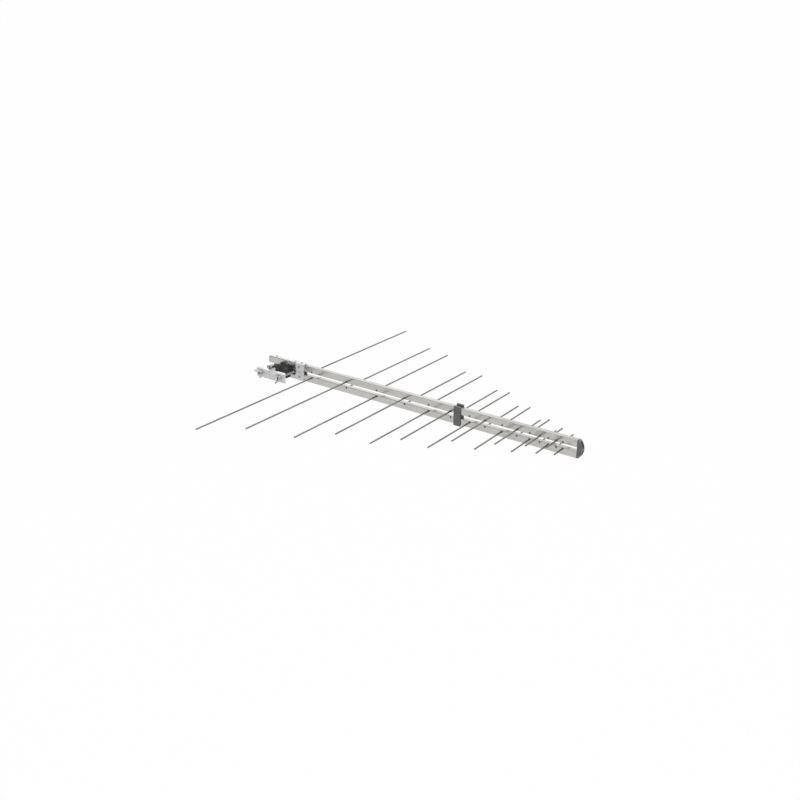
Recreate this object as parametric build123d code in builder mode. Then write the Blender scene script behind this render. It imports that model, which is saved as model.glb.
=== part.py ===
"""Log periodic antenna with twin booms, fifteen element pairs and a mast clamp.

The origin is on the axis of the mast that the clamp closes on, halfway up its
jaw and saddle. X runs along the booms to the nose, Y runs from the wing nuts to
the booms, and Z is up. Sizes are in millimetres. The functions draw each piece
with Z counted from the middle of the gap between the booms, and save() lifts it.
"""

import os
from itertools import accumulate
from math import asin, cos, radians, sin

from build123d import *

# Mast and saddle
MAST_DIAMETER = 45.0
SADDLE_CROWN = 13.5
SADDLE_HALF_LENGTH = 26.0
SADDLE_HORN_Y = 8.0
SADDLE_FLANGE = 5.0
SADDLE_WEB = 7.0
SADDLE_FOOT = 7.0
SADDLE_FOOT_LENGTH = 28.0
SADDLE_ROUND = 2.0
SADDLE_SCREW_GRIP = 6.0

# Booms: two rectangular tubes, one above the other
BOOM_WIDTH = 13.0
BOOM_HEIGHT = 18.0
BOOM_WALL = 1.2
BOOM_CORNER = 0.8
BOOM_GAP = 10.0
BOOM_TAIL = 58.0

# Elements, from the longest at the mast to the shortest at the nose
ROD_SPANS = (882, 785, 669, 578, 505, 443, 379, 315, 265, 222, 185, 154, 130, 110, 94)
ROD_STEPS = (121.7, 101.4, 90.6, 75.8, 67.1, 55.8, 44.9, 48.1, 41.8, 34.7, 27.4, 22.7, 21.3, 16.8)
FIRST_ROD_X = 95.5
NOSE_OVERHANG = 36.4
ROD_DIAMETER = 4.0
ROD_EDGE = 3.4
ROD_HEAD_RADIUS = 3.0
ROD_HEAD_HEIGHT = 1.1
ROD_COLLAR_RADIUS = 3.0
ROD_COLLAR_LENGTH = 1.0
ROD_CHAMFER = 0.3

# Clearances between pieces that go into each other
ROD_FIT = 0.05
SCREW_FIT = 0.05
PLUG_FIT = 0.1
BOLT_HOLE_FIT = 0.3
NUT_FIT = 0.05
SPACER_FIT = 0.05
JAW_FIT = 0.3

# Middle spacer, two halves
SPACER_X = 572.0
SPACER_LENGTH = 20.0
SPACER_PLATE = 3.0
SPACER_FRONT_RISE = 3.0
SPACER_REAR_RISE = 5.0
SPACER_LIP = 2.5
SPACER_ROUND = 0.8

# Nose cap
CAP_EDGE = 4.0
CAP_BULGE = 14.0
CAP_WALL = 1.6
CAP_ROUND = 1.0
CAP_PRONG_LENGTH = 14.0
CAP_PRONG_HEIGHT = 8.5

# Feed cable, its link to the upper boom, and the closures of the tail
CABLE_DIAMETER = 5.0
CORE_DIAMETER = 1.0
CABLE_SETBACK = 3.0
CABLE_ENTRY = 8.0
CORE_PROUD = 0.7
LINK_STANDOFF = 2.0
LINK_THICKNESS = 0.8
LINK_WIDTH = 5.0
LINK_LEG = 13.0
LINK_TAIL = 1.6
LINK_RIVET_INSET = 9.0
RIVET_RADIUS = 1.5
RIVET_HEAD_RADIUS = 2.4
RIVET_HEAD_HEIGHT = 0.7
PLUG_FLANGE = 2.0
PLUG_DEPTH = 12.0
SOCKET_RADIUS = 4.76
SOCKET_LENGTH = 11.0
SOCKET_NUT_FLATS = 11.0
SOCKET_NUT_LENGTH = 3.0
SOCKET_BORE_RADIUS = 0.8
SOCKET_BORE_DEPTH = 7.0

# Rear clip, rear spacer and clamp bracket, folded from one gauge of sheet
SHEET = 2.0
SHEET_BEND = 2.6
CLIP_BOLT_GAP = 4.8
CLIP_LENGTH = 28.5
REAR_SPACER_INSET = 8.5
BRACKET_TAIL_INSET = 2.0
BRACKET_FLANGE = 12.0
BRACKET_CLIP_GAP = 1.3
BRACKET_TONGUE_INSET = 2.0

# Screws
SCREW_RADIUS = 1.8
SCREW_LENGTH = 9.0
SCREW_HEAD_RADIUS = 3.6
SCREW_HEAD_HEIGHT = 2.4
SCREW_HEAD_RIM = 0.6
SCREW_POINT = 1.5
RECESS_LENGTH = 4.0
RECESS_WIDTH = 0.9
RECESS_DEPTH = 1.2
CLIP_FRONT_SCREW_INSET = 12.3
CLIP_TOP_SCREW_INSET = 16.7
TAIL_SCREW_GAP = 10.0
BRACKET_SCREW_INSET = 6.0
BOOM_SCREW_GAP = 4.2
LONG_SCREW_RADIUS = 2.0
SPACER_SCREW_LENGTH = 14.0

# Clamp: jaw, carriage bolts, washers and wing nuts
BOLT_INSET = 17.5
GRIP_DROP = 2.5
BOLT_DIAMETER = 6.0
BOLT_LENGTH = 87.5
BOLT_HEAD_RADIUS = 6.8
BOLT_HEAD_HEIGHT = 3.4
BOLT_NECK = 6.0
BOLT_CHAMFER = 0.8
NECK_FIT = 0.15
JAW_LENGTH = 104.0
JAW_HEIGHT = 26.0
JAW_SHEET = 2.5
JAW_BEND = 3.2
JAW_HORN_Y = -13.8
JAW_END_CUT = 9.0
WASHER_RADIUS = 6.2
WASHER_THICKNESS = 1.6
NUT_HUB_HEIGHT = 8.0
NUT_BASE_RADIUS = 6.2
NUT_TOP_RADIUS = 4.9
NUT_RIM = 2.4
WING_THICKNESS = 2.2
WING_REACH = 14.5
WING_HEIGHT = 17.0
WING_WAIST = 0.62
WING_BULGE = 0.72
WING_SHOULDER = 0.86
LEFT_WING_ANGLE = -43.0
RIGHT_WING_ANGLE = 80.0

# Places that follow from the sizes above
MAST_RADIUS = MAST_DIAMETER / 2
BOOM_FRONT = MAST_RADIUS + SADDLE_CROWN
BOOM_BACK = BOOM_FRONT + BOOM_WIDTH
BOOM_Y = BOOM_FRONT + BOOM_WIDTH / 2
BOOM_Z = (BOOM_GAP + BOOM_HEIGHT) / 2
GAP_HALF = BOOM_GAP / 2
STACK_TOP = GAP_HALF + BOOM_HEIGHT
TUBE_WIDTH = BOOM_WIDTH - 2 * BOOM_WALL
TUBE_HEIGHT = BOOM_HEIGHT - 2 * BOOM_WALL
ROD_RADIUS = ROD_DIAMETER / 2
ROD_Z = GAP_HALF + ROD_EDGE
ROD_XS = tuple(accumulate(ROD_STEPS, initial=FIRST_ROD_X))
NOSE_X = ROD_XS[-1] + NOSE_OVERHANG
CABLE_Z = BOOM_WALL + CABLE_DIAMETER / 2 - STACK_TOP
RIVET_X = NOSE_X - LINK_RIVET_INSET
BOLT_RADIUS = BOLT_DIAMETER / 2
BOLT_XS = (BOLT_INSET - JAW_LENGTH / 2, JAW_LENGTH / 2 - BOLT_INSET)
CLIP_START = BOLT_XS[1] + CLIP_BOLT_GAP
CLIP_END = CLIP_START + CLIP_LENGTH
CLIP_FRONT_SCREW_X = CLIP_START + CLIP_FRONT_SCREW_INSET
CLIP_TOP_SCREW_X = CLIP_START + CLIP_TOP_SCREW_INSET
REAR_SPACER_START = CLIP_START + REAR_SPACER_INSET
BOLT_Z = BOLT_RADIUS + BOLT_HOLE_FIT - GAP_HALF
GRIP_Z = BOLT_Z - GRIP_DROP
BRACKET_BACK = BOOM_BACK + SHEET
BRACKET_START = BRACKET_TAIL_INSET - BOOM_TAIL
BRACKET_END = CLIP_START - BRACKET_CLIP_GAP
BRACKET_SCREW_XS = (PLUG_DEPTH + TAIL_SCREW_GAP - BOOM_TAIL, BRACKET_END - BRACKET_SCREW_INSET)
BOOM_SCREW_X = CLIP_END + BOOM_SCREW_GAP
TOP_SCREW_XS = (*BRACKET_SCREW_XS, CLIP_TOP_SCREW_X, BOOM_SCREW_X)
JAW_INNER = -MAST_RADIUS - JAW_FIT
JAW_OUTER = JAW_INNER - JAW_SHEET
NUT_SEAT = JAW_OUTER - WASHER_THICKNESS


def save(piece, name):
    """Lift a finished piece so that the middle of the jaw is at Z 0, and write its STEP file."""
    lifted = piece.part.moved(Location((0, 0, -GRIP_Z)))
    lifted.label = name
    export_step(lifted, f"parts/{name}.step")


def write_boom(name, level):
    """Write one boom: level is 1 for the upper tube and -1 for the lower one."""
    with BuildPart() as boom:
        with BuildSketch(Plane.YZ.offset(-BOOM_TAIL)):
            with Locations((BOOM_Y, level * BOOM_Z)):
                RectangleRounded(BOOM_WIDTH, BOOM_HEIGHT, BOOM_CORNER)
                Rectangle(TUBE_WIDTH, TUBE_HEIGHT, mode=Mode.SUBTRACT)
        extrude(amount=NOSE_X + BOOM_TAIL)
        with BuildSketch(Plane.XZ.offset(-BOOM_BACK)):
            with Locations([(x, level * ROD_Z) for x in ROD_XS]):
                Circle(ROD_RADIUS + ROD_FIT)
        extrude(amount=BOOM_WIDTH, mode=Mode.SUBTRACT)
        with BuildSketch(Plane.XZ.offset(-BOOM_FRONT)):
            with Locations((CLIP_FRONT_SCREW_X, level * BOOM_Z)):
                Circle(SCREW_RADIUS + SCREW_FIT)
        extrude(amount=-BOOM_WALL, mode=Mode.SUBTRACT)
        if level > 0:
            with BuildSketch(Plane.XY.offset(STACK_TOP)):
                with Locations([(x, BOOM_Y) for x in TOP_SCREW_XS]):
                    Circle(SCREW_RADIUS + SCREW_FIT)
            extrude(amount=-BOOM_WALL, mode=Mode.SUBTRACT)
            with BuildSketch(Plane.XY.offset(GAP_HALF)):
                with Locations((RIVET_X, BOOM_Y)):
                    Circle(RIVET_RADIUS + SCREW_FIT)
            extrude(amount=BOOM_WALL, mode=Mode.SUBTRACT)
    save(boom, name)


def dome_middle(radius, height, base):
    """Return the point halfway along the arc of a dome that rises from base."""
    ball = (radius**2 + height**2) / (2 * height)
    half_turn = asin(radius / ball) / 2
    rise = height - ball + ball * cos(half_turn)
    return ball * sin(half_turn), base + rise


def write_rod(name, x, level, side, span):
    """Write a half rod: a dome outside one wall, a collar and the rod at the other."""
    face = BOOM_WIDTH / 2
    tip = span / 2
    root = (x, BOOM_Y, level * ROD_Z)
    head_middle = dome_middle(ROD_HEAD_RADIUS, ROD_HEAD_HEIGHT, face)
    collar_end = face + ROD_COLLAR_LENGTH
    with BuildPart() as rod:
        with BuildSketch(Plane(origin=root, x_dir=(0, 0, 1), z_dir=(-side, 0, 0))):
            with BuildLine():
                ThreePointArc(
                    (0, -face - ROD_HEAD_HEIGHT),
                    (head_middle[0], -head_middle[1]),
                    (ROD_HEAD_RADIUS, -face),
                )
                Polyline(
                    (ROD_HEAD_RADIUS, -face),
                    (ROD_RADIUS, -face),
                    (ROD_RADIUS, face),
                    (ROD_COLLAR_RADIUS, face),
                    (ROD_COLLAR_RADIUS, collar_end - ROD_CHAMFER),
                    (ROD_COLLAR_RADIUS - ROD_CHAMFER, collar_end),
                    (ROD_RADIUS, collar_end),
                    (ROD_RADIUS, tip - ROD_CHAMFER),
                    (ROD_RADIUS - ROD_CHAMFER, tip),
                    (0, tip),
                    (0, -face - ROD_HEAD_HEIGHT),
                )
            make_face()
        revolve(axis=Axis(root, (0, 1, 0)))
    save(rod, name)


def write_rods():
    """Write both half rods of each element; the sides swap booms from one to the next."""
    for number, (x, span) in enumerate(zip(ROD_XS, ROD_SPANS), start=1):
        front_level = -1 if number % 2 else 1
        write_rod(f"rod_{number:02d}_front", x, front_level, -1, span)
        write_rod(f"rod_{number:02d}_rear", x, -front_level, 1, span)


def write_nose_cap():
    """Write the hollow cap that closes the nose, with a prong into each tube."""
    prong_width = TUBE_WIDTH - 2 * PLUG_FIT
    prong_inset = BOOM_WALL + PLUG_FIT + CAP_PRONG_HEIGHT / 2
    with BuildPart() as cap:
        for inset, mode in ((0, Mode.ADD), (CAP_WALL, Mode.SUBTRACT)):
            top = STACK_TOP - inset
            edge = NOSE_X + CAP_EDGE - inset
            with BuildSketch(Plane.XZ.offset(inset - BOOM_BACK)):
                with BuildLine():
                    Polyline((edge, -top), (NOSE_X, -top), (NOSE_X, top), (edge, top))
                    ThreePointArc((edge, top), (NOSE_X + CAP_BULGE - inset, 0), (edge, -top))
                make_face()
            extrude(amount=BOOM_WIDTH - 2 * inset, mode=mode)
        fillet(cap.faces().sort_by(Axis.X)[-1].edges(), CAP_ROUND)
        with BuildSketch(Plane.YZ.offset(NOSE_X - CAP_PRONG_LENGTH)):
            with Locations((BOOM_Y, STACK_TOP - prong_inset), (BOOM_Y, -GAP_HALF - prong_inset)):
                Rectangle(prong_width, CAP_PRONG_HEIGHT)
        extrude(amount=CAP_PRONG_LENGTH + CAP_WALL)
    save(cap, "nose_cap")


def write_feed_cable():
    """Write the cable on the floor of the lower boom, with its bare core at the nose."""
    start = PLUG_DEPTH - CABLE_ENTRY - BOOM_TAIL
    end = NOSE_X - CABLE_SETBACK
    core_end = NOSE_X + LINK_STANDOFF + LINK_THICKNESS + CORE_PROUD
    with BuildPart() as cable:
        with BuildSketch(Plane.YZ.offset(start)):
            with Locations((BOOM_Y, CABLE_Z)):
                Circle(CABLE_DIAMETER / 2)
        extrude(amount=end - start)
        with BuildSketch(Plane.YZ.offset(end)):
            with Locations((BOOM_Y, CABLE_Z)):
                Circle(CORE_DIAMETER / 2)
        extrude(amount=core_end - end)
    save(cable, "feed_cable")


def write_feed_link():
    """Write the strip that carries the core's signal up to the floor of the upper boom."""
    face = NOSE_X + LINK_STANDOFF
    floor = GAP_HALF + BOOM_WALL
    with BuildPart() as link:
        with BuildSketch(Plane.XZ.offset(-BOOM_Y)):
            with BuildLine():
                Polyline(
                    (face, CABLE_Z - LINK_TAIL),
                    (face + LINK_THICKNESS, CABLE_Z - LINK_TAIL),
                    (face + LINK_THICKNESS, floor + LINK_THICKNESS),
                    (NOSE_X - LINK_LEG, floor + LINK_THICKNESS),
                    (NOSE_X - LINK_LEG, floor),
                    (face, floor),
                    close=True,
                )
            make_face()
        extrude(amount=LINK_WIDTH / 2, both=True)
        with BuildSketch(Plane.YZ.offset(face)):
            with Locations((BOOM_Y, CABLE_Z)):
                Circle(CORE_DIAMETER / 2 + SCREW_FIT)
        extrude(amount=LINK_THICKNESS, mode=Mode.SUBTRACT)
        with BuildSketch(Plane.XY.offset(floor)):
            with Locations((RIVET_X, BOOM_Y)):
                Circle(RIVET_RADIUS + SCREW_FIT)
        extrude(amount=LINK_THICKNESS, mode=Mode.SUBTRACT)
    save(link, "feed_link")


def write_feed_rivet():
    """Write the rivet that fixes the strip to the floor of the upper boom."""
    grip = BOOM_WALL + LINK_THICKNESS
    with BuildPart() as rivet:
        with BuildSketch(Plane.XY.offset(GAP_HALF)):
            with Locations((RIVET_X, BOOM_Y)):
                Circle(RIVET_RADIUS)
        extrude(amount=grip)
        for level in (GAP_HALF - RIVET_HEAD_HEIGHT, GAP_HALF + grip):
            with BuildSketch(Plane.XY.offset(level)):
                with Locations((RIVET_X, BOOM_Y)):
                    Circle(RIVET_HEAD_RADIUS)
            extrude(amount=RIVET_HEAD_HEIGHT)
    save(rivet, "feed_rivet")


def write_tail_plug():
    """Write the plug that closes the tail of the upper boom."""
    with BuildPart() as plug:
        with BuildSketch(Plane.YZ.offset(-BOOM_TAIL)):
            with Locations((BOOM_Y, BOOM_Z)):
                RectangleRounded(BOOM_WIDTH, BOOM_HEIGHT, BOOM_CORNER)
        extrude(amount=-PLUG_FLANGE)
        with BuildSketch(Plane.YZ.offset(-BOOM_TAIL)):
            with Locations((BOOM_Y, BOOM_Z)):
                Rectangle(TUBE_WIDTH - 2 * PLUG_FIT, TUBE_HEIGHT - 2 * PLUG_FIT)
        extrude(amount=PLUG_DEPTH)
    save(plug, "tail_plug")


def write_tail_socket():
    """Write the plug of the lower boom with the coaxial socket for the lead."""
    nut_face = -BOOM_TAIL - PLUG_FLANGE
    barrel_root = nut_face - SOCKET_NUT_LENGTH
    barrel_end = barrel_root - SOCKET_LENGTH
    with BuildPart() as socket:
        with BuildSketch(Plane.YZ.offset(-BOOM_TAIL)):
            with Locations((BOOM_Y, -BOOM_Z)):
                RectangleRounded(BOOM_WIDTH, BOOM_HEIGHT, BOOM_CORNER)
        extrude(amount=-PLUG_FLANGE)
        with BuildSketch(Plane.YZ.offset(-BOOM_TAIL)):
            with Locations((BOOM_Y, -BOOM_Z)):
                Rectangle(TUBE_WIDTH - 2 * PLUG_FIT, TUBE_HEIGHT - 2 * PLUG_FIT)
        extrude(amount=PLUG_DEPTH)
        with BuildSketch(Plane.YZ.offset(nut_face)):
            with Locations((BOOM_Y, -BOOM_Z)):
                RegularPolygon(SOCKET_NUT_FLATS / 2, 6, major_radius=False)
        extrude(amount=-SOCKET_NUT_LENGTH)
        with BuildSketch(Plane.YZ.offset(barrel_root)):
            with Locations((BOOM_Y, -BOOM_Z)):
                Circle(SOCKET_RADIUS)
        extrude(amount=-SOCKET_LENGTH)
        with BuildSketch(Plane.YZ.offset(barrel_end)):
            with Locations((BOOM_Y, -BOOM_Z)):
                Circle(SOCKET_BORE_RADIUS)
        extrude(amount=SOCKET_BORE_DEPTH, mode=Mode.SUBTRACT)
        with BuildSketch(Plane.YZ.offset(PLUG_DEPTH - BOOM_TAIL)):
            with Locations((BOOM_Y, CABLE_Z)):
                Circle(CABLE_DIAMETER / 2 + PLUG_FIT)
        extrude(amount=-CABLE_ENTRY, mode=Mode.SUBTRACT)
    save(socket, "tail_socket")


def write_spacer_half(name, side, rise):
    """Write half of the middle spacer: a plate, two lips and a tongue in the gap."""
    tongue = BOOM_WIDTH / 2 - SPACER_FIT
    with BuildPart() as half:
        with BuildSketch(Plane.YZ.offset(SPACER_X - SPACER_LENGTH / 2)):
            with Locations((BOOM_Y + side * (BOOM_WIDTH + SPACER_PLATE) / 2, 0)):
                Rectangle(SPACER_PLATE, 2 * (STACK_TOP + rise))
            lip_y = BOOM_Y + side * (BOOM_WIDTH - SPACER_LIP) / 2
            lip_z = STACK_TOP + rise / 2
            with Locations((lip_y, lip_z), (lip_y, -lip_z)):
                Rectangle(SPACER_LIP, rise)
            with Locations((BOOM_Y + side * (BOOM_WIDTH - tongue) / 2, 0)):
                Rectangle(tongue, BOOM_GAP)
        extrude(amount=SPACER_LENGTH)
        outer_face = half.faces().sort_by(Axis.Y)[-1 if side > 0 else 0]
        fillet(outer_face.edges(), SPACER_ROUND)
        with BuildSketch(Plane.XZ.offset(-BOOM_BACK - SPACER_PLATE)):
            with Locations((SPACER_X, 0)):
                Circle(LONG_SCREW_RADIUS + SCREW_FIT)
        extrude(amount=SPACER_SCREW_LENGTH, mode=Mode.SUBTRACT)
    save(half, name)


def write_rear_spacer():
    """Write the block that keeps the booms apart inside the rear clip."""
    with BuildPart() as block:
        with BuildSketch(Plane.YZ.offset(REAR_SPACER_START)):
            with Locations((BOOM_Y, 0)):
                Rectangle(BOOM_WIDTH, BOOM_GAP)
        extrude(amount=CLIP_END - REAR_SPACER_START)
    save(block, "rear_spacer")


def write_rear_clip():
    """Write the folded clip around the near side of both booms."""
    height = 2 * (STACK_TOP + SHEET)
    with BuildPart() as clip:
        with BuildSketch(Plane.YZ.offset(CLIP_START)) as section:
            with Locations((BOOM_Y - SHEET / 2, 0)):
                Rectangle(BOOM_WIDTH + SHEET, height)
            with Locations((BOOM_Y, 0)):
                Rectangle(BOOM_WIDTH, 2 * STACK_TOP, mode=Mode.SUBTRACT)
            fillet(section.vertices().group_by(Axis.X)[1], SHEET_BEND - SHEET)
            fillet(section.vertices().group_by(Axis.X)[0], SHEET_BEND)
        extrude(amount=CLIP_LENGTH)
        with BuildSketch(Plane.XZ.offset(SHEET - BOOM_FRONT)):
            with Locations((CLIP_FRONT_SCREW_X, BOOM_Z), (CLIP_FRONT_SCREW_X, -BOOM_Z)):
                Circle(SCREW_RADIUS + SCREW_FIT)
        extrude(amount=-SHEET, mode=Mode.SUBTRACT)
        with BuildSketch(Plane.XY.offset(STACK_TOP)):
            with Locations((CLIP_TOP_SCREW_X, BOOM_Y)):
                Circle(SCREW_RADIUS + SCREW_FIT)
        extrude(amount=SHEET, mode=Mode.SUBTRACT)
    save(clip, "rear_clip")


def write_clamp_bracket():
    """Write the folded bracket on the far side of the booms, which takes the bolt heads."""
    neck = BOLT_NECK + 2 * NECK_FIT
    with BuildPart() as bracket:
        with BuildSketch(Plane.YZ.offset(BRACKET_START)) as section:
            with Locations((BRACKET_BACK - (BRACKET_FLANGE + SHEET) / 2, 0)):
                Rectangle(BRACKET_FLANGE + SHEET, 2 * (STACK_TOP + SHEET))
            with Locations((BOOM_BACK - BRACKET_FLANGE / 2, 0)):
                Rectangle(BRACKET_FLANGE, 2 * STACK_TOP, mode=Mode.SUBTRACT)
            fillet(section.vertices().group_by(Axis.X)[-2], SHEET_BEND - SHEET)
            fillet(section.vertices().group_by(Axis.X)[-1], SHEET_BEND)
        extrude(amount=BRACKET_END - BRACKET_START)
        with BuildSketch(Plane.YZ.offset(BRACKET_END)):
            with Locations((BOOM_BACK + SHEET / 2, 0)):
                Rectangle(SHEET, 2 * (STACK_TOP - BRACKET_TONGUE_INSET))
        extrude(amount=CLIP_END - BRACKET_END)
        with BuildSketch(Plane.XZ.offset(-BRACKET_BACK)):
            with Locations([(x, BOLT_Z) for x in BOLT_XS]):
                Rectangle(neck, neck)
            with Locations((0, BOLT_Z)):
                Circle(LONG_SCREW_RADIUS + SCREW_FIT)
        extrude(amount=SHEET, mode=Mode.SUBTRACT)
        with BuildSketch(Plane.XY.offset(STACK_TOP)):
            with Locations([(x, BOOM_Y) for x in BRACKET_SCREW_XS]):
                Circle(SCREW_RADIUS + SCREW_FIT)
        extrude(amount=SHEET, mode=Mode.SUBTRACT)
    save(bracket, "clamp_bracket")


def write_saddle():
    """Write the plastic saddle: two notched flanges on a web, and a short foot against the booms."""
    back = BOOM_FRONT - SADDLE_FOOT
    depth = back - SADDLE_HORN_Y
    with BuildPart() as saddle:
        with BuildSketch(Plane.XY.offset(GRIP_Z - JAW_HEIGHT / 2)) as outline:
            with Locations((0, back - depth / 2)):
                Rectangle(2 * SADDLE_HALF_LENGTH, depth)
            Circle(MAST_RADIUS, mode=Mode.SUBTRACT)
            corners = outline.vertices().filter_by(lambda corner: abs(corner.X) > MAST_RADIUS)
            fillet(corners, SADDLE_ROUND)
        extrude(amount=JAW_HEIGHT)
        with BuildSketch(Plane.XZ.offset(SADDLE_WEB - back)):
            with Locations((0, GRIP_Z)):
                Rectangle(2 * SADDLE_HALF_LENGTH, JAW_HEIGHT - 2 * SADDLE_FLANGE)
        extrude(amount=depth, mode=Mode.SUBTRACT)
        with BuildSketch(Plane.XZ.offset(-BOOM_FRONT)):
            with Locations((0, GRIP_Z)):
                Rectangle(SADDLE_FOOT_LENGTH, JAW_HEIGHT)
        extrude(amount=SADDLE_FOOT)
        with BuildSketch(Plane.XZ.offset(-BOOM_FRONT)):
            with Locations((0, BOLT_Z)):
                Circle(LONG_SCREW_RADIUS + SCREW_FIT)
        extrude(amount=SADDLE_SCREW_GRIP, mode=Mode.SUBTRACT)
    save(saddle, "mast_saddle")


def write_jaw():
    """Write the folded jaw on the near side of the mast, with a round notch in each flange."""
    depth = JAW_HORN_Y - JAW_OUTER
    half_length = JAW_LENGTH / 2
    with BuildPart() as jaw:
        with BuildSketch(Plane.YZ.offset(-half_length)) as section:
            with Locations((JAW_OUTER + depth / 2, GRIP_Z)):
                Rectangle(depth, JAW_HEIGHT)
            with Locations((JAW_INNER + depth / 2, GRIP_Z)):
                Rectangle(depth, JAW_HEIGHT - 2 * JAW_SHEET, mode=Mode.SUBTRACT)
            fillet(section.vertices().group_by(Axis.X)[1], JAW_BEND - JAW_SHEET)
            fillet(section.vertices().group_by(Axis.X)[0], JAW_BEND)
        extrude(amount=JAW_LENGTH)
        with BuildSketch(Plane.XY.offset(GRIP_Z - JAW_HEIGHT / 2)):
            Circle(MAST_RADIUS)
            for side in (-1, 1):
                with BuildLine():
                    Polyline(
                        (side * half_length, JAW_HORN_Y),
                        (side * (half_length - JAW_END_CUT), JAW_HORN_Y),
                        (side * half_length, JAW_HORN_Y - JAW_END_CUT),
                        close=True,
                    )
                make_face()
        extrude(amount=JAW_HEIGHT, mode=Mode.SUBTRACT)
        with BuildSketch(Plane.XZ.offset(-JAW_INNER)):
            with Locations([(x, BOLT_Z) for x in BOLT_XS]):
                Circle(BOLT_RADIUS + BOLT_HOLE_FIT)
        extrude(amount=JAW_SHEET, mode=Mode.SUBTRACT)
    save(jaw, "clamp_jaw")


def write_bolt(name, x):
    """Write a carriage bolt: dome, square neck in the bracket and a long shank."""
    seat = (x, BRACKET_BACK, BOLT_Z)
    dome = dome_middle(BOLT_HEAD_RADIUS, BOLT_HEAD_HEIGHT, 0)
    with BuildPart() as bolt:
        with BuildSketch(Plane(origin=seat, x_dir=(1, 0, 0), z_dir=(0, 0, 1))):
            with BuildLine():
                ThreePointArc((0, BOLT_HEAD_HEIGHT), dome, (BOLT_HEAD_RADIUS, 0))
                Polyline(
                    (BOLT_HEAD_RADIUS, 0),
                    (BOLT_RADIUS, 0),
                    (BOLT_RADIUS, BOLT_CHAMFER - BOLT_LENGTH),
                    (BOLT_RADIUS - BOLT_CHAMFER, -BOLT_LENGTH),
                    (0, -BOLT_LENGTH),
                    (0, BOLT_HEAD_HEIGHT),
                )
            make_face()
        revolve(axis=Axis(seat, (0, 1, 0)))
        with BuildSketch(Plane(origin=seat, x_dir=(1, 0, 0), z_dir=(0, -1, 0))):
            Rectangle(BOLT_NECK, BOLT_NECK)
        extrude(amount=SHEET)
    save(bolt, name)


def write_washer(name, x):
    """Write a plain washer between the jaw and a wing nut."""
    with BuildPart() as washer:
        with BuildSketch(Plane.XZ.offset(-JAW_OUTER)):
            with Locations((x, BOLT_Z)):
                Circle(WASHER_RADIUS)
                Circle(BOLT_RADIUS + BOLT_HOLE_FIT, mode=Mode.SUBTRACT)
        extrude(amount=WASHER_THICKNESS)
    save(washer, name)


def write_wing_nut(name, x, angle):
    """Write a wing nut whose wings lie at an angle, in degrees, above the X axis."""
    seat = (x, NUT_SEAT, BOLT_Z)
    across = (cos(radians(angle)), 0, sin(radians(angle)))
    hub_face = Plane(origin=seat, x_dir=across, z_dir=(0, -1, 0))
    wing_face = Plane(origin=seat, x_dir=across, z_dir=-hub_face.y_dir)
    with BuildPart() as nut:
        with BuildSketch(wing_face):
            Polygon(
                (0, 0),
                (NUT_BASE_RADIUS, 0),
                (NUT_BASE_RADIUS, NUT_RIM),
                (NUT_TOP_RADIUS, NUT_HUB_HEIGHT),
                (0, NUT_HUB_HEIGHT),
                align=None,
            )
        revolve(axis=Axis(seat, (0, -1, 0)))
        with BuildSketch(wing_face):
            with BuildLine():
                Spline(
                    (BOLT_RADIUS, NUT_RIM),
                    (WING_REACH * WING_WAIST, NUT_RIM * 2),
                    (WING_REACH, WING_HEIGHT * WING_BULGE),
                    (WING_REACH * WING_SHOULDER, WING_HEIGHT),
                    (WING_REACH * WING_WAIST, WING_HEIGHT * WING_SHOULDER),
                    (BOLT_RADIUS, NUT_HUB_HEIGHT),
                )
                Line((BOLT_RADIUS, NUT_HUB_HEIGHT), (BOLT_RADIUS, NUT_RIM))
            make_face()
            mirror(about=Plane.YZ)
        extrude(amount=WING_THICKNESS / 2, both=True)
        with BuildSketch(hub_face):
            Circle(BOLT_RADIUS + NUT_FIT)
        extrude(amount=WING_HEIGHT, mode=Mode.SUBTRACT)
    save(nut, name)


def write_screws(name, seats, radius, length):
    """Write pan head screws that stand on their seats, each seat facing outwards."""
    dome_rise = SCREW_HEAD_HEIGHT - SCREW_HEAD_RIM
    dome = dome_middle(SCREW_HEAD_RADIUS, dome_rise, SCREW_HEAD_RIM)
    with BuildPart() as screws:
        for seat in seats:
            with BuildSketch(Plane(origin=seat.origin, x_dir=seat.x_dir, z_dir=-seat.y_dir)):
                with BuildLine():
                    ThreePointArc((0, SCREW_HEAD_HEIGHT), dome, (SCREW_HEAD_RADIUS, SCREW_HEAD_RIM))
                    Polyline(
                        (SCREW_HEAD_RADIUS, SCREW_HEAD_RIM),
                        (SCREW_HEAD_RADIUS, 0),
                        (radius, 0),
                        (radius, SCREW_POINT - length),
                        (0, -length),
                        (0, SCREW_HEAD_HEIGHT),
                    )
                make_face()
            revolve(axis=Axis(seat.origin, seat.z_dir))
            with BuildSketch(seat.offset(SCREW_HEAD_HEIGHT)):
                Rectangle(RECESS_LENGTH, RECESS_WIDTH)
                Rectangle(RECESS_WIDTH, RECESS_LENGTH)
            extrude(amount=-RECESS_DEPTH, mode=Mode.SUBTRACT)
    save(screws, name)


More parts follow.
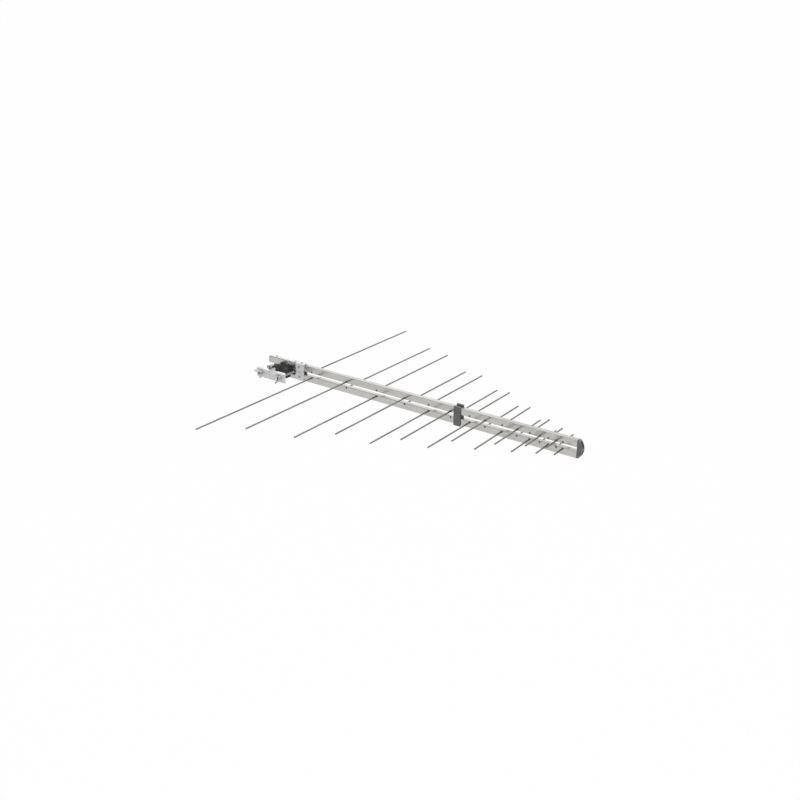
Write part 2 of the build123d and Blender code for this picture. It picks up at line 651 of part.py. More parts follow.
def write_all_screws():
    """Write the screws of the clip, the bracket, the booms, the spacer and the saddle."""
    clip_near = [
        Plane(origin=(CLIP_FRONT_SCREW_X, BOOM_FRONT - SHEET, z), x_dir=(1, 0, 0), z_dir=(0, -1, 0))
        for z in (BOOM_Z, -BOOM_Z)
    ]
    on_sheet = STACK_TOP + SHEET
    clip_top = Plane(origin=(CLIP_TOP_SCREW_X, BOOM_Y, on_sheet))
    bracket_top = [Plane(origin=(x, BOOM_Y, on_sheet)) for x in BRACKET_SCREW_XS]
    boom_top = Plane(origin=(BOOM_SCREW_X, BOOM_Y, STACK_TOP))
    spacer_seat = (SPACER_X, BOOM_BACK + SPACER_PLATE, 0)
    spacer_rear = Plane(origin=spacer_seat, x_dir=(1, 0, 0), z_dir=(0, 1, 0))
    saddle_rear = Plane(origin=(0, BRACKET_BACK, BOLT_Z), x_dir=(1, 0, 0), z_dir=(0, 1, 0))
    saddle_length = SHEET + BOOM_WIDTH + SADDLE_SCREW_GRIP
    write_screws("clip_screws", [*clip_near, clip_top], SCREW_RADIUS, SCREW_LENGTH)
    write_screws("bracket_screws", bracket_top, SCREW_RADIUS, SCREW_LENGTH)
    write_screws("boom_screw", [boom_top], SCREW_RADIUS, SCREW_LENGTH)
    write_screws("spacer_screw", [spacer_rear], LONG_SCREW_RADIUS, SPACER_SCREW_LENGTH)
    write_screws("saddle_screw", [saddle_rear], LONG_SCREW_RADIUS, saddle_length)


os.makedirs("parts", exist_ok=True)
write_boom("boom_upper", 1)
write_boom("boom_lower", -1)
write_rods()
write_nose_cap()
write_feed_cable()
write_feed_link()
write_feed_rivet()
write_tail_plug()
write_tail_socket()
write_spacer_half("spacer_front", -1, SPACER_FRONT_RISE)
write_spacer_half("spacer_rear", 1, SPACER_REAR_RISE)
write_rear_spacer()
write_rear_clip()
write_clamp_bracket()
write_saddle()
write_jaw()
for place, x, angle in (("left", BOLT_XS[0], LEFT_WING_ANGLE), ("right", BOLT_XS[1], RIGHT_WING_ANGLE)):
    write_bolt(f"bolt_{place}", x)
    write_washer(f"washer_{place}", x)
    write_wing_nut(f"wing_nut_{place}", x, angle)
write_all_screws()
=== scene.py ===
"""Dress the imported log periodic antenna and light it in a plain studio.

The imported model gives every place. This file reads the boxes of its nodes, puts finer meshes in
the place of the turned, cast and threaded parts, and gives each surface a procedural finish.
Lengths are in metres and angles in degrees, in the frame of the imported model: X runs along the
booms to the nose, Y from the wing nuts to the booms, and Z up.
"""

import logging
import math
from dataclasses import dataclass
from enum import Enum

import bmesh
import bpy
from mathutils import Matrix, Vector


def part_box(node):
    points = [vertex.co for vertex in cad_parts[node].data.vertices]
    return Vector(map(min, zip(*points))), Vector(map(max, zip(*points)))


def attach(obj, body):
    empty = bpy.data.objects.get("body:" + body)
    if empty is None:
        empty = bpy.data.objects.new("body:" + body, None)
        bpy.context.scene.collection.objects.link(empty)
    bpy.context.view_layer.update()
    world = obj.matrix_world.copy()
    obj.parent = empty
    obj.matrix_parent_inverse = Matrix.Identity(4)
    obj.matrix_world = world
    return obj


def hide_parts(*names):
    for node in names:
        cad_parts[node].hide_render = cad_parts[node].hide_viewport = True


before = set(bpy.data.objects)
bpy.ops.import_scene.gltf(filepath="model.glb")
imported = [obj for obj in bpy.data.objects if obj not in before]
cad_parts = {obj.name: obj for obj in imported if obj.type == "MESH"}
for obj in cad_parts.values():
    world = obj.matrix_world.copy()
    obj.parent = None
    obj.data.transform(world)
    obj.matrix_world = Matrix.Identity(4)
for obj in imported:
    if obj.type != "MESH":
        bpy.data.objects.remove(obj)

LOG = logging.getLogger("antenna")
# Points nearer than this are one point, in metres.
WELD = 1e-7
# How far a corner may be from the level that it lies on, in metres.
LEVEL_GAP = 1e-6
# An edge folded by more than this is rounded.
SHARP_FOLD = math.radians(35)
Colour = tuple[float, float, float]
Point = tuple[float, float, float]
Pair = tuple[float, float]
Outline = list[tuple[float, float]]
Socket = bpy.types.NodeSocket
Solid = bmesh.types.BMesh


class Slot(Enum):
    """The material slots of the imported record."""

    BOOM = "boom_aluminium"
    ROD = "rod_aluminium"
    SHEET = "galvanised_sheet"
    FASTENER = "zinc_fastener"
    GREY_PLASTIC = "grey_plastic"
    BLACK_PLASTIC = "black_plastic"
    BRASS = "feed_brass"
    SOCKET = "socket_metal"
    SHEATH = "cable_sheath"


class Body(Enum):
    """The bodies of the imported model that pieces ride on."""

    ANTENNA = "antenna"
    JAW = "jaw"
    LEFT_NUT = "wing_nut_left"
    RIGHT_NUT = "wing_nut_right"


class Direction(Enum):
    """Where the local Z axis of a placed part points."""

    UP = (0.0, 0.0, 1.0)
    FRONT = (0.0, -1.0, 0.0)
    REAR = (0.0, 1.0, 0.0)
    TAIL = (-1.0, 0.0, 0.0)
    NOSE = (1.0, 0.0, 0.0)


class Graph:
    """A node tree that is built up value by value."""

    def __init__(self, owner: bpy.types.Material | bpy.types.World) -> None:
        """Start with an empty tree.

        Args:
            owner: The material or the sky that the tree belongs to.
        """
        owner.use_nodes = True
        self.tree = owner.node_tree
        self.tree.nodes.clear()

    def feed(self, target: Socket, value: Socket | float | tuple[float, ...]) -> None:
        """Link an input to a value that varies, or set it to one that doesn't.

        Args:
            target: The input.
            value: The output that it is linked to, or the fixed value.
        """
        if isinstance(value, Socket):
            self.tree.links.new(value, target)
        else:
            target.default_value = value

    def node(self, kind: str, inputs: dict | None = None, **settings: str | int) -> bpy.types.Node:
        """Make a node.

        Args:
            kind: Its type, without the leading ShaderNode.
            inputs: What each input is linked to or set to.
            **settings: Its other properties.

        Returns:
            The node.
        """
        made = self.tree.nodes.new(f"ShaderNode{kind}")
        for key, value in settings.items():
            setattr(made, key, value)
        for key, value in (inputs or {}).items():
            self.feed(made.inputs[key], value)
        return made

    def spread(self, value: Socket, source: Pair, target: Pair = (0.0, 1.0)) -> Socket:
        """Map a value smoothly from one range to another and hold it inside.

        Args:
            value: The value to map.
            source: Range that it comes from.
            target: Range that it goes to.

        Returns:
            The mapped value.
        """
        ends = dict(zip(("From Min", "From Max", "To Min", "To Max"), (*source, *target)))
        node = self.node("MapRange", {"Value": value, **ends}, interpolation_type="SMOOTHSTEP")
        return node.outputs["Result"]

    def combine(self, operation: str, first: Socket, second: Socket | float) -> Socket:
        """Work out one value from two.

        Args:
            operation: Name of the sum, such as MULTIPLY.
            first: First value.
            second: Second value, varying or fixed.

        Returns:
            The result.
        """
        return self.node("Math", {0: first, 1: second}, operation=operation).outputs["Value"]

    def weigh(self, first: Socket, second: Socket, share: float) -> Socket:
        """Add two values by their weights.

        Args:
            first: Value that is taken by its share.
            second: Value that is taken by the rest.
            share: The share, from 0 to 1.

        Returns:
            The sum.
        """
        rest = self.combine("MULTIPLY", second, 1.0 - share)
        return self.combine("ADD", self.combine("MULTIPLY", first, share), rest)

    def tint(self, share: Socket, first: Socket | Colour, second: Socket | Colour) -> Socket:
        """Mix two colours.

        Args:
            share: Share of the second colour, from 0 to 1.
            first: Colour at share 0.
            second: Colour at share 1.

        Returns:
            The mixed colour.
        """
        mix = self.node("Mix", {"Factor": share}, data_type="RGBA")
        sockets = [socket for socket in mix.inputs if socket.type == "RGBA"]
        for socket, colour in zip(sockets, (first, second)):
            self.feed(socket, (*colour, 1.0) if isinstance(colour, tuple) else colour)
        return next(socket for socket in mix.outputs if socket.type == "RGBA")


@dataclass(frozen=True)
class Grain:
    """A random pattern: the typical size of its patches in metres, and its finer layers."""

    pitch: float
    detail: float = 2.0


class FinishGraph(Graph):
    """The node tree of one finish, which ends in a Principled shader."""

    bevel_samples: int = 4
    edge_facing: Pair = (0.99, 0.86)

    def __init__(self, name: str, metallic: float, edge_radius: float, sheen: float = 0.0) -> None:
        """Start a material, and find the edges of its part.

        Args:
            name: Name of the material.
            metallic: Metal share of the shader, from 0 to 1.
            edge_radius: How far the rounding of an edge reaches, in metres.
            sheen: Weight of the shader's sheen.
        """
        self.material = bpy.data.materials.new(name)
        super().__init__(self.material)
        self.shader = self.node("BsdfPrincipled", {"Metallic": metallic, "Sheen Weight": sheen})
        self.node("OutputMaterial", {"Surface": self.shader.outputs["BSDF"]})
        self.place = self.node("TexCoord").outputs["Object"]
        bevel = self.node("Bevel", {"Radius": edge_radius}, samples=self.bevel_samples)
        self.rounded = bevel.outputs["Normal"]
        flat = self.node("NewGeometry").outputs["Normal"]
        facing = self.node("VectorMath", {0: self.rounded, 1: flat}, operation="DOT_PRODUCT")
        self.edge = self.spread(facing.outputs["Value"], self.edge_facing)

    def stretched(self, along: Point) -> Socket:
        """Scale the place on the part along each axis.

        Args:
            along: Factor for X, Y and Z. A small one draws the pattern out along that axis.

        Returns:
            The scaled place.
        """
        return self.node("Mapping", {"Scale": along, "Vector": self.place}).outputs["Vector"]

    def noise(self, grain: Grain, place: Socket | None = None) -> Socket:
        """Make a soft random pattern.

        Args:
            grain: Its size and detail.
            place: Where the pattern is read, if it isn't the place on the part.

        Returns:
            The value, about 0.3 to 0.7.
        """
        place = self.place if place is None else place
        inputs = {"Scale": 1.0 / grain.pitch, "Detail": grain.detail, "Vector": place}
        return self.node("TexNoise", inputs).outputs["Fac"]

    def crystals(self, pitch: float) -> Socket:
        """Make a pattern of crystals, each of one random value from 0 to 1.

        Args:
            pitch: Typical size of a crystal, in metres.

        Returns:
            The value.
        """
        cells = self.node("TexVoronoi", {"Scale": 1.0 / pitch, "Vector": self.place})
        return self.node("SeparateColor", {"Color": cells.outputs["Color"]}).outputs["Red"]

    def finish(
        self,
        skin: Socket,
        edge_wear_and_painted_light: Colour,
        edge_wear_and_light_share: Socket | float,
        roughness: Socket,
        pattern: Socket,
        depth: float,
    ) -> bpy.types.Material:
        """Colour the edges, raise the pattern and link the shader's varying inputs. The edge
        colour stands for rubbed wear, on the booms for a painted dark reflection, and on the grey
        plastic partly for a painted highlight.

        Args:
            skin: Colour of the faces.
            edge_wear_and_painted_light: Colour of the edges.
            edge_wear_and_light_share: How much of that colour the edges show, from 0 to 1.
            roughness: Roughness.
            pattern: Pattern of the relief.
            depth: Height of the relief for a pattern value of 1, in metres.

        Returns:
            The finished material.
        """
        bump = self.node("Bump", {"Distance": depth, "Height": pattern, "Normal": self.rounded})
        colour = self.tint(self.combine("MULTIPLY", self.edge, edge_wear_and_light_share), skin, edge_wear_and_painted_light)
        self.feed(self.shader.inputs["Base Color"], colour)
        self.feed(self.shader.inputs["Roughness"], roughness)
        self.feed(self.shader.inputs["Normal"], bump.outputs["Normal"])
        return self.material


def toned(colour: Colour, factor: float) -> Colour:
    """Make a colour lighter or darker by a factor."""
    return tuple(min(1.0, factor * part) for part in colour)


@dataclass(frozen=True)
class DrawnMetal:
    """Metal pulled through a die, with fine lines along its length."""

    name: str
    bright: Colour
    dull: Colour
    along: Point
    metallic: float = 0.55
    roughness: Pair = (0.30, 0.46)
    lines: Grain = Grain(0.0005, 3.0)
    bands: Grain = Grain(0.0032, 1.0)
    patches: Grain = Grain(0.055, 4.0)
    line_share: float = 0.55
    streak_share: float = 0.6
    oxide_range: Pair = (0.36, 0.64)
    line_depth: float = 0.00004
    edge_radius: float = 0.0003
    edge_tone: float = 1.12
    edge_share: float = 0.7

    def material(self) -> bpy.types.Material:
        """Make the material of the drawn metal.

        Returns:
            The material.
        """
        graph = FinishGraph(self.name, self.metallic, self.edge_radius)
        drawn = graph.stretched(self.along)
        lines = graph.noise(self.lines, drawn)
        streaks = graph.weigh(lines, graph.noise(self.bands, drawn), self.line_share)
        oxide = graph.weigh(streaks, graph.noise(self.patches), self.streak_share)
        skin = graph.tint(graph.spread(oxide, self.oxide_range), self.dull, self.bright)
        edge_wear_and_painted_light = toned(self.bright, self.edge_tone)
        roughness = graph.spread(oxide, self.oxide_range, self.roughness)
        return graph.finish(skin, edge_wear_and_painted_light, self.edge_share, roughness, lines, self.line_depth)


@dataclass(frozen=True)
class GalvanisedSteel:
    """Folded sheet steel with a zinc coat that has set in flat crystals."""

    name: str
    bright: Colour
    dull: Colour
    metallic: float = 0.15
    roughness: Pair = (0.54, 0.36)
    crystal_pitch: float = 0.0026
    crystal_share: float = 0.3
    bloom: Grain = Grain(0.014, 5.0)
    bloom_range: Pair = (0.35, 0.65)
    coat_range: Pair = (0.1, 0.9)
    grain: Grain = Grain(0.0004)
    grain_depth: float = 0.00001
    edge_radius: float = 0.0004
    edge_tone: float = 1.25
    edge_share: float = 0.6

    def material(self) -> bpy.types.Material:
        """Make the material of the galvanised sheet.

        Returns:
            The material.
        """
        graph = FinishGraph(self.name, self.metallic, self.edge_radius)
        clouds = graph.spread(graph.noise(self.bloom), self.bloom_range)
        coat = graph.weigh(graph.crystals(self.crystal_pitch), clouds, self.crystal_share)
        skin = graph.tint(coat, self.dull, self.bright)
        edge_wear_and_painted_light = toned(self.bright, self.edge_tone)
        roughness = graph.spread(coat, self.coat_range, self.roughness)
        grain = graph.noise(self.grain)
        return graph.finish(skin, edge_wear_and_painted_light, self.edge_share, roughness, grain, self.grain_depth)


@dataclass(frozen=True)
class PlatedMetal:
    """Small turned or cast parts with a bright plated coat, duller in random patches."""

    name: str
    bright: Colour
    dull: Colour
    tinge: Colour
    metallic: float = 0.9
    roughness: Pair = (0.22, 0.42)
    clouds: Grain = Grain(0.006)
    cloud_range: Pair = (0.4, 0.62)
    tinge_share: float = 0.5
    marks: Grain = Grain(0.0011, 4.0)
    mark_range: Pair = (0.38, 0.6)
    mark_share: float = 0.55
    mark_depth: float = 0.00002
    edge_radius: float = 0.0002
    edge_share: float = 0.75

    def material(self) -> bpy.types.Material:
        """Make the material of the plated metal.

        Returns:
            The material.
        """
        graph = FinishGraph(self.name, self.metallic, self.edge_radius)
        hue = graph.spread(graph.noise(self.clouds), self.cloud_range, (0.0, self.tinge_share))
        marks = graph.noise(self.marks)
        dust = graph.spread(marks, self.mark_range, (0.0, self.mark_share))
        skin = graph.tint(dust, graph.tint(hue, self.bright, self.tinge), self.dull)
        roughness = graph.spread(marks, self.mark_range, self.roughness)
        return graph.finish(skin, self.bright, self.edge_share, roughness, marks, self.mark_depth)


@dataclass(frozen=True)
class MouldedPlastic:
    """Plastic with the fine grain of its mould, paler along its edges: partly rubbed wear and
    partly a painted edge highlight.
    """

    name: str
    tone: Colour
    scuffed_and_highlit: Colour
    roughness: Pair = (0.40, 0.58)
    grain: Grain = Grain(0.00045)
    grain_depth: float = 0.00006
    flow: Grain = Grain(0.012, 4.0)
    flow_range: Pair = (0.35, 0.65)
    cloud_range: Pair = (0.35, 0.68)
    cloud_tone: float = 1.25
    edge_wear_and_light_range: Pair = (0.3, 0.6)
    edge_wear_and_light_shares: Pair = (0.25, 0.8)
    edge_radius: float = 0.0005
    sheen: float = 0.05

    def material(self) -> bpy.types.Material:
        """Make the material of the moulded plastic.

        Returns:
            The material.
        """
        graph = FinishGraph(self.name, 0.0, self.edge_radius, self.sheen)
        flow = graph.noise(self.flow)
        lighter = toned(self.tone, self.cloud_tone)
        skin = graph.tint(graph.spread(flow, self.cloud_range), self.tone, lighter)
        edge_wear_and_light_share = graph.spread(flow, self.edge_wear_and_light_range, self.edge_wear_and_light_shares)
        roughness = graph.spread(flow, self.flow_range, self.roughness)
        grain = graph.noise(self.grain)
        return graph.finish(skin, self.scuffed_and_highlit, edge_wear_and_light_share, roughness, grain, self.grain_depth)


LINES_ALONG_X = (0.004, 1.0, 1.0)
LINES_ALONG_Y = (1.0, 0.008, 1.0)

FINISHES = {
    Slot.BOOM: DrawnMetal(
        name="extruded_boom_aluminium",
        bright=(0.58, 0.571, 0.55),
        dull=(0.475, 0.467, 0.449),
        along=LINES_ALONG_X,
        metallic=0.9,
        roughness=(0.15, 0.28),
        edge_radius=0.0014,
        # Below 1, edge_tone paints the rounded edges darker than the faces: a painted dark
        # reflection along the boom edges.
        edge_tone=0.62,
    ),
    Slot.ROD: DrawnMetal(
        name="drawn_rod_aluminium",
        bright=(0.225, 0.222, 0.216),
        dull=(0.135, 0.133, 0.130),
        along=LINES_ALONG_Y,
        metallic=0.85,
        roughness=(0.22, 0.36),
        lines=Grain(0.0003, 3.0),
        bands=Grain(0.0012, 1.0),
    ),
    Slot.SHEET: GalvanisedSteel(
        name="galvanised_folded_sheet",
        bright=(0.88, 0.88, 0.87),
        dull=(0.74, 0.745, 0.745),
    ),
    Slot.FASTENER: PlatedMetal(
        name="zinc_plated_fastener",
        bright=(0.52, 0.525, 0.53),
        dull=(0.24, 0.245, 0.255),
        tinge=(0.45, 0.465, 0.50),
        roughness=(0.30, 0.48),
    ),
    Slot.GREY_PLASTIC: MouldedPlastic(
        name="grey_moulded_plastic",
        tone=(0.130, 0.130, 0.131),
        # The paler edge colour is partly rubbed wear and partly a painted highlight along the
        # edges of the cap and the spacer.
        scuffed_and_highlit=(0.30, 0.30, 0.30),
    ),
    Slot.BLACK_PLASTIC: MouldedPlastic(
        name="black_moulded_plastic",
        tone=(0.018, 0.018, 0.019),
        scuffed_and_highlit=(0.09, 0.09, 0.09),
    ),
    Slot.BRASS: PlatedMetal(
        name="feed_link_brass",
        bright=(0.72, 0.52, 0.22),
        dull=(0.36, 0.23, 0.09),
        tinge=(0.62, 0.38, 0.15),
    ),
    Slot.SOCKET: PlatedMetal(
        name="nickel_plated_socket",
        bright=(0.70, 0.68, 0.63),
        dull=(0.42, 0.40, 0.36),
        tinge=(0.66, 0.61, 0.52),
        roughness=(0.16, 0.32),
    ),
    Slot.SHEATH: MouldedPlastic(
        name="white_cable_sheath",
        tone=(0.62, 0.62, 0.60),
        scuffed_and_highlit=(0.74, 0.74, 0.72),
        grain_depth=0.00002,
    ),
}


class Workshop:
    """Hands out one material for each slot, and dresses nodes and new pieces."""

    def __init__(self) -> None:
        """Start with no material made."""
        self.made: dict[Slot, bpy.types.Material] = {}

    def material(self, slot: Slot) -> bpy.types.Material:
        """Give the material of a slot, and make it the first time.

        Args:
            slot: The slot.

        Returns:
            Its material.
        """
        if slot not in self.made:
            self.made[slot] = FINISHES[slot].material()
        return self.made[slot]

    def dress(self, node: str, slot: Slot) -> None:
        """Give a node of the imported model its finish.

        Args:
            node: Name of the node.
            slot: Slot of the finish.
        """
        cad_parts[node].material_slots[0].material = self.material(slot)
        LOG.info("dressed %s in %s", node, slot.value)

    def piece(
        self,
        solids: list[Solid],
        node: str,
        name: str,
        slot: Slot,
        body: Body = Body.ANTENNA,
        sharp: float = 32.0,
    ) -> None:
        """Put a new piece in the place of a node.

        Args:
            solids: Its closed solids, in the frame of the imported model.
            node: Name of the node that it stands for.
            name: Name of the new piece.
            slot: Slot of its finish.
            body: Body that it rides on.
            sharp: Angle from which an edge is sharp, in degrees.
        """
        mesh = as_mesh(solids, name, sharp)
        piece = bpy.data.objects.new(name, mesh)
        bpy.context.scene.collection.objects.link(piece)
        mesh.materials.append(self.material(slot))
        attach(piece, body.value)
        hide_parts(node)
        LOG.info("built %s with %d faces", name, len(mesh.polygons))


def placed(origin: Vector, direction: Direction, turn: float = 0.0) -> Matrix:
    """Make the matrix that stands a local part on its seat.

    Args:
        origin: Where the local origin goes.
        direction: Where the local Z axis points.
        turn: Angle of the local X axis about that direction, in degrees.

    Returns:
        The matrix.
    """
    axis = Vector(direction.value)
    across = Vector((0, 1, 0)) if axis.x else Vector((1, 0, 0))
    basis = Matrix((across, axis.cross(across), axis)).transposed().to_4x4()
    return Matrix.Translation(origin) @ basis @ Matrix.Rotation(math.radians(turn), 4, "Z")


def revolved(profile: Outline, segments: int, ring: bool = False) -> Solid:
    """Turn a profile about the local Z axis.

    Args:
        profile: Radius and height of each corner. A radius of 0 is one point on the axis.
        segments: Number of steps around the axis.
        ring: True joins the last corner to the first, for a part with a hole.

    Returns:
        The closed mesh.
    """
    turned = bmesh.new()
    rows = []
    for radius, height in profile:
        steps = 1 if radius == 0 else segments
        row = []
        for step in range(steps):
            angle = 2 * math.pi * step / segments
            x, y = radius * math.cos(angle), radius * math.sin(angle)
            row.append(turned.verts.new((x, y, height)))
        rows.append(row)
    pairs = list(zip(rows, rows[1:])) + ([(rows[-1], rows[0])] if ring else [])
    for lower, upper in pairs:
        for step in range(segments):
            following = (step + 1) % segments
            corners = [
                lower[step % len(lower)],
                lower[following % len(lower)],
                upper[following % len(upper)],
                upper[step % len(upper)],
            ]
            turned.faces.new(list(dict.fromkeys(corners)))
    bmesh.ops.recalc_face_normals(turned, faces=turned.faces)
    return turned


def dome(radius: float, height: float, rim: float, steps: int = 8) -> Outline:
    """Make the profile of a low dome, from its rim to its top.

    Args:
        radius: Radius of the rim.
        height: Height of the dome above the rim.
        rim: Height of the rim itself.
        steps: Number of steps of the curve.

    Returns:
        Radius and height of each corner.
    """
    sphere = (radius**2 + height**2) / (2 * height)
    reach = math.asin(min(1.0, radius / sphere))
    angles = [reach * (1 - step / steps) for step in range(steps)]
    curve = [(sphere * math.sin(a), rim + height - sphere * (1 - math.cos(a))) for a in angles]
    return [*curve, (0, rim + height)]


@dataclass(frozen=True)
class Thread:
    """A screw thread about the local Z axis, cut as a real helix."""

    major: float
    minor: float
    pitch: float
    segments: int = 32
    crest_share: float = 0.125
    flank_share: float = 0.3125
    root_share: float = 0.25

    def corners(self) -> Outline:
        """Give the profile of one turn.

        Returns:
            Share of the pitch and radius of each corner.
        """
        root = self.crest_share + self.flank_share
        return [
            (0.0, self.major),
            (self.crest_share, self.major),
            (root, self.minor),
            (root + self.root_share, self.minor),
        ]

    def mesh(self, bottom: float, top: float, bore: float = 0.0, bore_depth: float = 0.0) -> Solid:
        """Cut the thread between two heights, with a lead at each end.

        Args:
            bottom: Height of the lower end.
            top: Height of the upper end.
            bore: Radius of the hole in the upper end, or 0.
            bore_depth: Depth of that hole.

        Returns:
            The closed mesh.
        """
        cut = bmesh.new()
        corners = self.corners()
        turns = math.ceil((top - bottom) / self.pitch) + 2
        rows = []
        for row in range(len(corners) * turns):
            share, radius = corners[row % len(corners)]
            start = bottom + (row // len(corners) - 1 + share - 1) * self.pitch
            steps = range(self.segments)
            rows.append([self.corner(cut, start, step, radius, bottom, top) for step in steps])
        for row in range(len(rows) - len(corners) - 1):
            for step in range(self.segments):
                last = step + 1 == self.segments
                near = rows[row + len(corners)][0] if last else rows[row][step + 1]
                far = rows[row + len(corners) + 1][0] if last else rows[row + 1][step + 1]
                cut.faces.new([rows[row][step], near, far, rows[row + 1][step]])
        bmesh.ops.remove_doubles(cut, verts=cut.verts, dist=WELD)
        bmesh.ops.dissolve_degenerate(cut, edges=cut.edges, dist=WELD)
        self.close(cut, bottom, 0.0, 0.0)
        self.close(cut, top, bore, bore_depth)
        bmesh.ops.recalc_face_normals(cut, faces=cut.faces)
        return cut

    def corner(
        self, cut: Solid, start: float, step: int, radius: float, bottom: float, top: float
    ) -> bmesh.types.BMVert:
        """Add one corner of the helix.

        Args:
            cut: The mesh that gets it.
            start: Height of its row at the first step.
            step: Number of the step around the axis.
            radius: Radius of its row.
            bottom: Height of the lower end.
            top: Height of the upper end.

        Returns:
            The new corner.
        """
        angle = 2 * math.pi * step / self.segments
        height = min(max(start + self.pitch * step / self.segments, bottom), top)
        lead = self.minor + min(height - bottom, top - height)
        reach = min(radius, max(lead, self.minor))
        return cut.verts.new((reach * math.cos(angle), reach * math.sin(angle), height))

    def close(self, cut: Solid, level: float, bore: float, bore_depth: float) -> None:
        """Close an end of the thread.

        Args:
            cut: The mesh.
            level: Height of the end.
            bore: Radius of the hole in it, or 0.
            bore_depth: Depth of that hole.
        """
        open_edges = [edge for edge in cut.edges if edge.is_boundary]
        rim = [
            edge for edge in open_edges if all(abs(v.co.z - level) < LEVEL_GAP for v in edge.verts)
        ]
        for radius, depth in ((bore, 0.0), (bore, bore_depth)) if bore else ():
            grown = bmesh.ops.extrude_edge_only(cut, edges=rim)["geom"]
            for corner in (part for part in grown if isinstance(part, bmesh.types.BMVert)):
                flat = Vector((corner.co.x, corner.co.y, 0)).normalized() * radius
                corner.co = Vector((flat.x, flat.y, level - depth))
            new_edges = [part for part in grown if isinstance(part, bmesh.types.BMEdge)]
            rim = [edge for edge in new_edges if edge.is_boundary]
        bmesh.ops.edgeloop_fill(cut, edges=rim)


def extruded(outline: Outline, bottom: float, top: float, taper: float = 1.0) -> Solid:
    """Make a prism over an outline.

    Args:
        outline: X and Y of each corner, in order.
        bottom: Height of the lower face.
        top: Height of the upper face.
        taper: Scale of the outline at the lower face.

    Returns:
        The closed mesh.
    """
    prism = bmesh.new()
    low = [prism.verts.new((taper * x, taper * y, bottom)) for x, y in outline]
    high = [prism.verts.new((x, y, top)) for x, y in outline]
    prism.faces.new(low)
    prism.faces.new(high)
    for step in range(len(outline)):
        following = (step + 1) % len(outline)
        prism.faces.new([low[step], low[following], high[following], high[step]])
    bmesh.ops.recalc_face_normals(prism, faces=prism.faces)
    return prism


def rounded_outline(
    half_width: float, half_height: float, rounding: float, steps: int = 5
) -> Outline:
    """Draw a rectangle with round corners about the local origin.

    Args:
        half_width: Half of its width.
        half_height: Half of its height.
        rounding: Radius of the corners.
        steps: Points of each corner.

    Returns:
        The points of the outline, in order.
    """
    outline = []
    for x_side, y_side, start in ((1, 1, 0), (-1, 1, 90), (-1, -1, 180), (1, -1, 270)):
        for step in range(steps):
            angle = math.radians(start + 90 * step / (steps - 1))
            x = x_side * (half_width - rounding) + rounding * math.cos(angle)
            y = y_side * (half_height - rounding) + rounding * math.sin(angle)
            outline.append((x, y))
    return outline


def stood(part: Solid, matrix: Matrix) -> Solid:
    """Move a part by a matrix and return it."""
    bmesh.ops.transform(part, matrix=matrix, verts=part.verts)
    return part


def softened(part: Solid, radius: float, segments: int = 3) -> Solid:
    """Round the sharp edges of a part.

    Args:
        part: The part.
        radius: Radius of the rounding.
        segments: Steps of the rounding.

    Returns:
        The same part.
    """
    closed = [edge for edge in part.edges if edge.is_manifold]
    sharp = [edge for edge in closed if edge.calc_face_angle() > SHARP_FOLD]
    bmesh.ops.bevel(
        part,
        geom=sharp,
        offset=radius,
        segments=segments,
        profile=0.5,
        affect="EDGES",
        clamp_overlap=True,
    )
    return part


def block(low: Vector, high: Vector) -> Solid:
    """Make a closed box between two corners.

    Args:
        low: Lowest corner.
        high: Highest corner.

    Returns:
        The box.
    """
    outline = [(low.x, low.y), (high.x, low.y), (high.x, high.y), (low.x, high.y)]
    return extruded(outline, low.z, high.z)


def merged(solids: list[Solid]) -> Solid:
    """Put solids together in one, without cutting them.

    Args:
        solids: The solids, which are used up.

    Returns:
        The one solid.
    """
    joined = bmesh.new()
    for solid in solids:
        scratch = bpy.data.meshes.new("scratch")
        solid.to_mesh(scratch)
        joined.from_mesh(scratch)
        bpy.data.meshes.remove(scratch)
        solid.free()
    return joined


def as_mesh(solids: list[Solid], name: str, sharp: float) -> bpy.types.Mesh:
    """Join solids to one mesh that is smooth apart from its sharp edges.

    Args:
        solids: The solids.
        name: Name of the mesh.
        sharp: Angle from which an edge is sharp, in degrees.

    Returns:
        The mesh.
    """
    joined = merged(solids)
    mesh = bpy.data.meshes.new(name)
    joined.to_mesh(mesh)
    joined.free()
    mesh.shade_smooth()
    mesh.set_sharp_from_angle(angle=math.radians(sharp))
    return mesh


def modified(part: Solid, settings: list[tuple[str, dict]]) -> Solid:
    """Run modifiers on a part.

    Args:
        part: The part.
        settings: Type and properties of each modifier, in order.

    Returns:
        The part with the modifiers applied.
    """
    mesh = bpy.data.meshes.new("scratch")
    part.to_mesh(mesh)
    part.free()
    holder = bpy.data.objects.new("scratch", mesh)
    bpy.context.scene.collection.objects.link(holder)
    for kind, values in settings:
        modifier = holder.modifiers.new(kind, kind)
        for key, value in values.items():
            setattr(modifier, key, value)
    seen = holder.evaluated_get(bpy.context.evaluated_depsgraph_get())
    result = bmesh.new()
    result.from_mesh(seen.to_mesh())
    seen.to_mesh_clear()
    bpy.data.objects.remove(holder)
    bpy.data.meshes.remove(mesh)
    return result


def cut_with(part: Solid, tool: Solid, operation: str) -> Solid:
    """Combine a part with a tool.

    Args:
        part: The part.
        tool: The tool.
        operation: DIFFERENCE or INTERSECT.

    Returns:
        The result.
    """
    mesh = bpy.data.meshes.new("tool")
    tool.to_mesh(mesh)
    tool.free()
    holder = bpy.data.objects.new("tool", mesh)
    bpy.context.scene.collection.objects.link(holder)
    settings = {"operation": operation, "object": holder, "solver": "EXACT"}
    result = modified(part, [("BOOLEAN", settings)])
    bpy.data.objects.remove(holder)
    bpy.data.meshes.remove(mesh)
    return result


